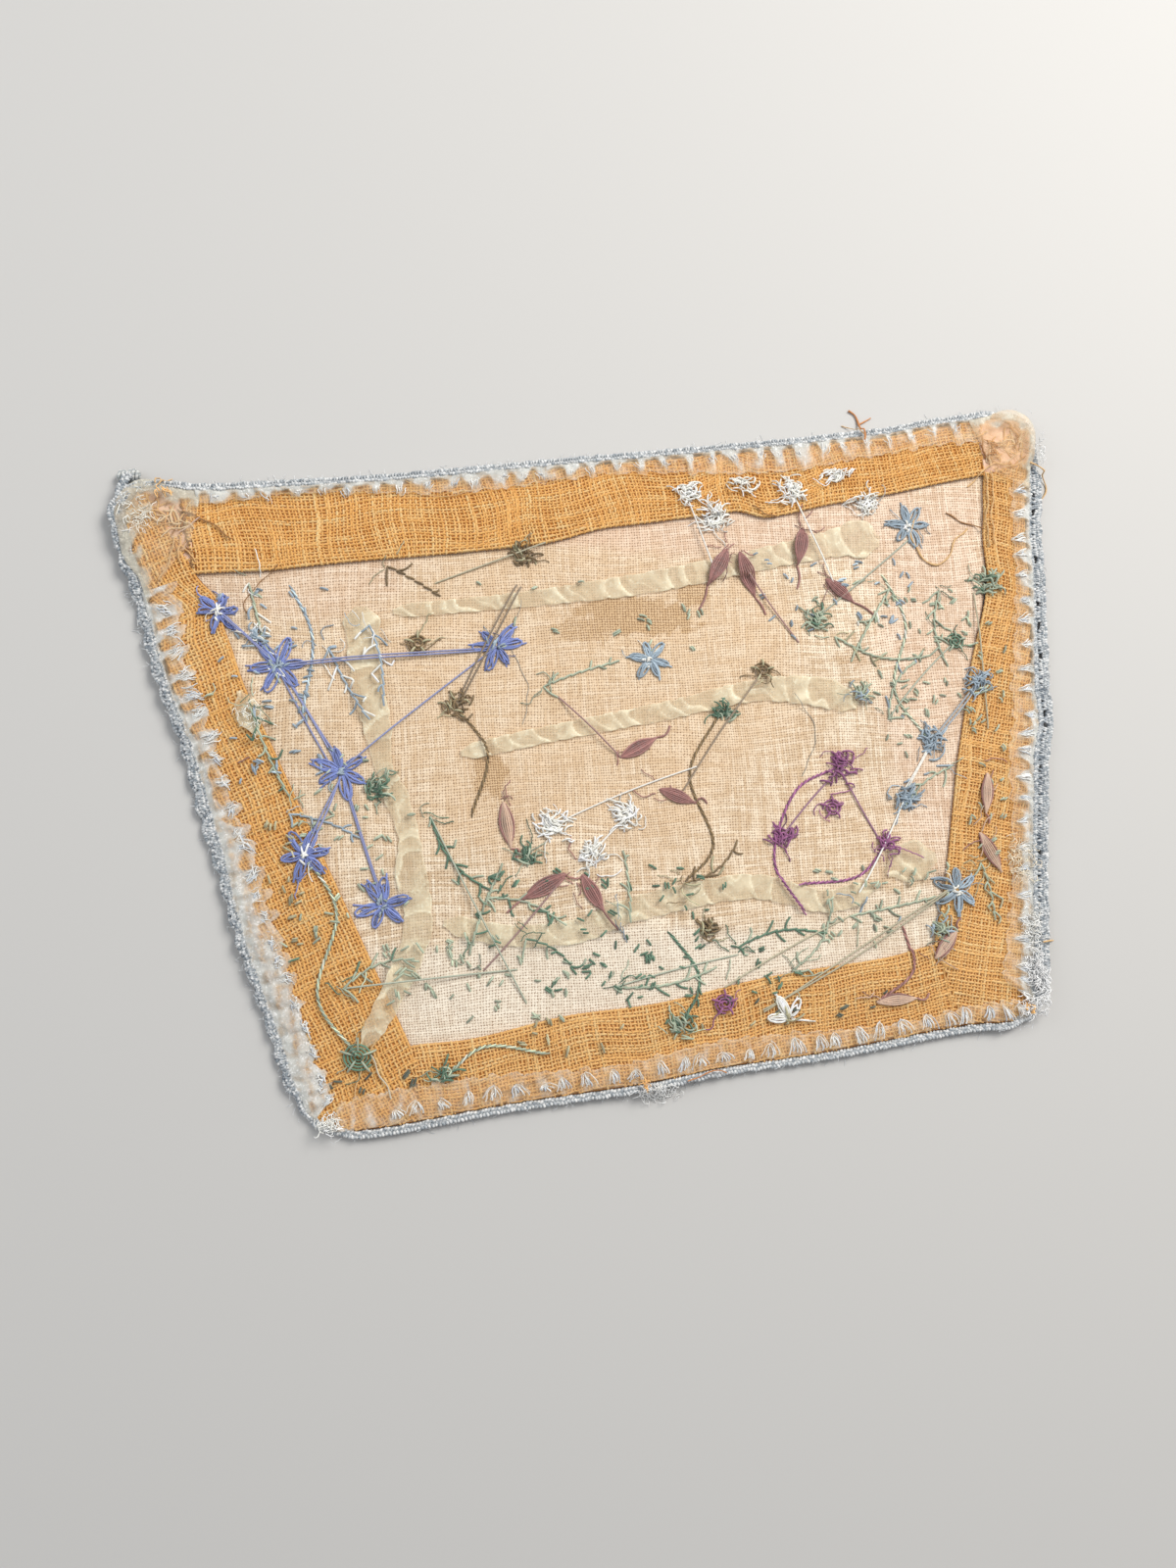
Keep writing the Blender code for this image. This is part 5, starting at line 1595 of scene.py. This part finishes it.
def coil(row, draw):
    share = np.linspace(0.0, 1.0, int(row.size * 20))
    turn = 2 * np.pi * share * row.size * 1.15 + row.turn
    reach = 0.35 + row.size * share
    spots = np.column_stack((row.x + reach * np.cos(turn), row.y + reach * np.sin(turn) * 0.9))
    pieces = [Laid(spots, FLOSS, shaded(row.colour, draw), 0.3, False)]
    for number in range(COIL_SPOKES):
        spoke = heading(number * (360 // COIL_SPOKES) + 20)
        pieces.append(straight((row.x, row.y) + spoke, (row.x, row.y) + spoke * (row.size + 1.0),
                               shaded(row.second, draw), rise=0.8))
    return pieces


def stem(row, draw):
    """Stem stitch: short slanting stitches, each beside the last, with painted light and shade on
    alternate ones, so that they look roped.
    """
    line, _ = smooth_line([(*point, 0.0) for point in row.points], STEM_STEP)
    side = side_of(line)
    pieces = []
    for here in range(len(line) - 2):
        start = line[here, :2] - side[here] * STEM_SLANT
        end = line[here + 2, :2] + side[here + 2] * STEM_SLANT
        # Painted light and shade: every other stitch is lighter and the rest darker.
        colour = np.array(row.colour) * (STEM_LIT if here % 2 else STEM_SHADED)
        pieces.append(straight(start, end, shaded(colour, draw), rise=0.15, radius=FLOSS * 0.7, step=0.7))
    return pieces


def carried(row, draw):
    """A float of one or more strands, pulled nearly straight."""
    start, end = np.array((row.x1, row.y1)), np.array((row.x2, row.y2))
    side = np.array((start[1] - end[1], end[0] - start[0])) / np.hypot(*(end - start))
    pieces = []
    for number in range(row.strands):
        off = side * (number - (row.strands - 1) / 2) * FLOSS * 2.1
        splay = side * draw.normal(0.0, 0.5)
        pale = np.array(row.colour) * (1.0 - FLOAT_FADE) + FLOAT_FADE * np.array(FADED)
        pieces.append(straight(start + off, end + off + splay, shaded(pale, draw, 0.06), rise=0.12,
                               radius=FLOSS * 0.85, bow=draw.normal(0.0, 0.5), taut=True, step=1.2))
    return pieces


def cut_ends(row, draw):
    """The short ends of floss left hanging on the wrong side beside a motif."""
    pieces = []
    for _ in range(draw.integers(*CUT_ENDS)):
        spot = spot_of(row) + draw.normal(0.0, 1.6, 2)
        count = int(draw.integers(6, 14))
        path = curl(any_way(draw, 0.35, count), 0.6)
        pieces.append(Laid(spot + path, FLOSS * draw.uniform(0.35, 0.6),
                           shaded(draw.choice((row.colour, row.second)), draw, 0.2), 0.4, False))
    return pieces


def seeds(row, draw):
    pieces = []
    look = {"rise": 0.3, "step": SHORT_STEP}
    for _ in range(row.count):
        spot = spot_of(row) + draw.uniform(-1.0, 1.0, 2) * (row.across, row.down)
        if draw.uniform() < 0.4:
            spot = spot + draw.normal(0.0, 1.2, 2)
        end = spot + heading(draw.uniform(0.0, 360.0)) * draw.uniform(1.1, 2.2)
        pieces.append(straight(spot, end, shaded(row.colour, draw, 0.2), **look))
        if draw.uniform() < 0.5:
            off = draw.normal(0.0, 0.5, 2)
            pieces.append(straight(spot + off, end + off, shaded(row.colour, draw, 0.2), **look))
    return pieces


def sewn_area(piece):
    """Whether a thread lies wholly within the edging's stitches."""
    outline = rim_by(np.arange(0.0, RIM_LENGTH, 4.0), SEWN_INSET)
    return inside(outline, piece.spots).all()


def embroidery():
    draw = np.random.default_rng(211)
    makers = {"flower": flower, "tuft": tuft, "leaf": leaf, "sprig": sprig, "coil": coil}
    pieces = []
    for row in SEED_BEDS:
        pieces += seeds(row, draw)
    for row in STEMS:
        pieces += stem(row, draw)
    for row in MOTIFS:
        pieces += makers[row.kind](row, draw) + cut_ends(row, draw)
    for row in FLOATS:
        pieces += carried(row, draw)
    return laid_on_cloth([piece for piece in pieces if sewn_area(piece)])


sewn = embroidery()
white = [strand for strand in sewn if min(strand[2]) > WHITE_FROM]
coloured = [strand for strand in sewn if min(strand[2]) <= WHITE_FROM]
# Painted shade between the plies: faint on the white floss, deeper on the coloured floss.
for name, strands, groove_shade in (("white_embroidery", white, 0.12), ("embroidery", coloured, 0.42)):
    stitching = spin(name, strands, thread_finish(name, 0.45, 1.9, groove_shade, sheen=0.4), sides=4)
    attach(stitching, "root")


# Loose ends: pulled and broken threads that curl over the cloth and past its edges, tufts of
# white and ochre fluff at the edges and corners, and fine fuzz along the yarn.
Loose = namedtuple("Loose", "points radius colour")
OCHRE_PALE, OCHRE_BROWN, RUST = (0.86, 0.56, 0.26), (0.42, 0.21, 0.075), (0.72, 0.30, 0.10)
LOOSE_ENDS = table(
    Loose,
    (((71.7, 85.2), (71.4, 90.3), (70.2, 92.8), (68.3, 94.6)), 0.27, RUST),
    (((71.2, 90.6), (73.0, 92.1), (74.9, 93.3)), 0.19, RUST),
    (((71.8, 86.5), (69.0, 89.5), (66.2, 90.2)), 0.12, OCHRE_PALE),
    (((101.6, 73.9), (105.6, 78.4), (109.2, 80.6), (113.6, 80.3), (119.5, 81.3), (124.0, 78.6),
      (125.3, 75.2), (123.2, 70.2)), 0.21, OCHRE_PALE),
    (((85.5, 64.5), (84.7, 59.4), (86.5, 54.7), (90.6, 51.3), (94.0, 52.3), (97.2, 58.1),
      (101.1, 62.5)), 0.25, OCHRE_PALE),
    (((39.7, 64.8), (43.2, 63.0), (46.5, 62.4)), 0.16, OCHRE_BROWN),
    (((95.0, 66.1), (99.7, 64.1), (105.4, 61.9)), 0.17, OCHRE_BROWN),
    (((-106.6, 54.9), (-102.3, 53.9), (-94.5, 48.9)), 0.2, OCHRE_BROWN),
    (((-107.1, 49.2), (-104.6, 51.7), (-102.3, 53.9)), 0.17, PINK_SILK),
    (((-108.2, 48.4), (-108.5, 45.1), (-108.8, 41.8), (-111.2, 37.4)), 0.19, OCHRE_PALE),
    (((-113.0, 61.2), (-113.3, 62.4), (-112.4, 63.0), (-111.6, 62.2), (-112.2, 61.2), (-110.9, 63.0),
      (-110.2, 64.2)), 0.17, OCHRE_PALE),
    (((-82.9, 42.5), (-86.0, 39.8), (-89.2, 35.8), (-90.9, 32.5), (-90.4, 30.0)), 0.11, OCHRE_BROWN),
    (((115.4, -50.9), (118.4, -50.1), (120.3, -50.0)), 0.23, OCHRE_PALE),
    (((106.1, 77.6), (106.7, 71.3), (106.0, 64.2), (106.8, 57.1)), 0.2, OCHRE_PALE),
    (((107.6, 78.3), (108.4, 72.9), (107.6, 65.7), (108.4, 58.0)), 0.17, OCHRE_PALE),
    (((-55.7, -74.0), (-58.6, -78.6), (-59.8, -83.2), (-60.6, -87.3)), 0.16, OCHRE_PALE),
    (((-57.2, -77.5), (-54.8, -82.1), (-51.8, -87.9)), 0.19, (0.80, 0.72, 0.55)),
    (((-30.0, -87.0), (-22.0, -86.0), (-14.0, -83.0)), 0.16, OCHRE_BROWN),
    (((20.0, -85.0), (26.0, -82.5), (30.0, -83.0)), 0.16, RUST),
    (((-52.0, 66.0), (-44.0, 63.0), (-36.0, 65.0)), 0.1, OCHRE_PALE),
    (((52.0, -8.0), (56.0, 4.0), (50.0, 14.0)), 0.09, (0.50, 0.48, 0.40)),
    (((-22.0, 36.0), (-24.0, 24.0), (-20.0, 14.0), (-21.0, 4.0)), 0.09, (0.60, 0.55, 0.45)))
Fluff = namedtuple("Fluff", "x y across down count long radius colour")
FLUFFS = table(
    Fluff,
    (12.9, -87.6, 5.5, 1.6, 130, 3.6, 0.09, (1.0, 1.0, 0.97)),
    (9.5, -85.5, 1.2, 0.8, 10, 2.4, 0.18, (0.90, 0.50, 0.16)),
    (111.6, -29.5, 3.6, 6.0, 100, 3.6, 0.10, (1.0, 0.86, 0.66)),
    (113.0, -46.5, 2.0, 7.0, 110, 3.2, 0.11, (1.0, 0.99, 0.94)),
    (112.6, -58.0, 2.4, 6.5, 140, 3.2, 0.11, (1.0, 1.0, 1.0)),
    (115.6, -62.5, 1.8, 5.0, 120, 3.0, 0.10, (1.0, 1.0, 1.0)),
    (111.8, -67.2, 3.2, 2.4, 80, 2.8, 0.11, (1.0, 1.0, 1.0)),
    (111.0, -67.4, 0.8, 1.0, 18, 1.6, 0.22, (0.95, 0.56, 0.20)),
    (122.4, 84.0, 0.9, 2.2, 26, 3.6, 0.08, (0.96, 0.97, 0.96)),
    (108.5, 84.3, 1.6, 4.0, 26, 3.0, 0.16, (0.62, 0.30, 0.10)),
    (-117.0, 53.5, 3.0, 4.5, 70, 3.6, 0.11, (0.98, 0.98, 0.90)),
    (-111.0, 59.6, 2.2, 0.9, 12, 3.4, 0.16, (0.95, 0.56, 0.20)),
    (-66.0, -93.5, 3.0, 2.0, 60, 3.6, 0.12, (0.98, 0.98, 0.93)),
    (-88.0, 4.0, 4.0, 4.0, 40, 3.0, 0.10, (0.98, 0.96, 0.86)))
FLUFF_BEND, FLUFF_POINTS = 0.55, 6
FUZZ_COUNT, FUZZ_RADIUS, FUZZ_COLOUR = 420, 0.055, (0.80, 0.83, 0.85)
FUZZ_BEND, FUZZ_POINTS, FUZZ_STEPS = 0.35, 5, (0.2, 0.55)
FRINGE_REACH, FRINGE_COUNT, FRINGE_POINTS, FRINGE_STEP, FRINGE_RADIUS = (0.06, 0.80), 17, 7, 0.34, 0.2


def thing_top(spots):
    """Height of the uppermost surface at points: cloth, yarn, or the open floor."""
    away = np.full(len(spots), 1000.0)
    for here in RIM_SPOTS:
        away = np.minimum(away, np.hypot(spots[:, 0] - here[0], spots[:, 1] - here[1]))
    within = inside(RIM_SPOTS, spots)
    top = np.where(within, cloth_top(spots), 0.0)
    return np.where(within & (away < EDGINGS[0].width), lift(spots) + YARN_BAND + 0.4, top)


def loose_strands():
    draw = np.random.default_rng(231)
    strands = []
    for row in LOOSE_ENDS:
        line, far = smooth_line([(*point, 0.0) for point in row.points], 0.7)
        spots = line[:, :2] + 0.25 * np.column_stack((np.sin(far * 0.9), np.cos(far * 0.7)))
        height = thing_top(spots)
        for _ in range(6):
            height[1:-1] = (height[:-2] + height[1:-1] + height[2:]) / 3
        height = np.maximum(height, thing_top(spots)) + row.radius + 0.1
        thick = row.radius * (1.0 + 0.2 * np.sin(far * 1.3))
        strands.append((np.column_stack((spots, height)), thick, shaded(row.colour, draw, 0.05)))
    inner, outer = (line[-1] for line in border_outline(BORDERS[3]))
    for share in np.linspace(*FRINGE_REACH, FRINGE_COUNT):
        turn = draw.normal(200.0, 14.0) - np.linspace(0.0, draw.uniform(60.0, 200.0), FRINGE_POINTS)
        spots = inner + (outer - inner) * share + (0.5, 0.0) + curl(np.radians(turn), FRINGE_STEP)
        height = border_under(spots) + OCHRE + np.linspace(0.1, -0.3, FRINGE_POINTS)
        strands.append((np.column_stack((spots, height)), FRINGE_RADIUS, shaded(OCHRE_BROWN, draw, 0.25)))
    return strands


def fluff_strands():
    draw = np.random.default_rng(241)
    plans, details = [], []
    for row in FLUFFS:
        for _ in range(row.count):
            spot = spot_of(row) + draw.normal(0.0, 0.5, 2) * (row.across, row.down)
            turn = any_way(draw, FLUFF_BEND, FLUFF_POINTS)
            path = curl(turn, row.long * draw.uniform(0.5, 1.0) / FLUFF_POINTS)
            plans.append(spot + path - path[-1] / 2)
            details.append((row.radius, shaded(row.colour, draw, 0.06), draw.uniform(0.2, 1.5)))
    for far in draw.uniform(0.0, RIM_LENGTH, FUZZ_COUNT):
        spot = rim_by(far, draw.uniform(0.0, 1.5))
        outwards = spot - rim_by(far, 3.0)
        turn = np.arctan2(outwards[1], outwards[0]) + draw.normal(0.0, 0.9)
        turn = turn + np.cumsum(draw.normal(0.0, FUZZ_BEND, FUZZ_POINTS))
        plans.append(spot + curl(turn, draw.uniform(*FUZZ_STEPS)))
        details.append((FUZZ_RADIUS, FUZZ_COLOUR, draw.uniform(-0.6, 0.4)))
    tops = np.split(thing_top(np.vstack(plans)), np.cumsum([len(plan) for plan in plans])[:-1])
    strands = []
    for plan, top, (radius, colour, rise) in zip(plans, tops, details):
        height = np.maximum(0.15, top.mean() + rise * np.sin(np.linspace(0.3, np.pi - 0.1, len(plan))))
        strands.append((np.column_stack((plan, height)), radius, colour))
    return strands


loose_ends = spin("loose_threads", loose_strands(), ochre_thread, sides=5)
down = thread_finish("down", 0.9, 3.2, 0.0, sheen=0.9)
fluff = spin("fluff", fluff_strands(), down, sides=3)
for piece in (loose_ends, fluff):
    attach(piece, "root")


low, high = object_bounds()
dumps({"cad": [list(cad_low), list(cad_high)], "visual": [list(low), list(high)]})
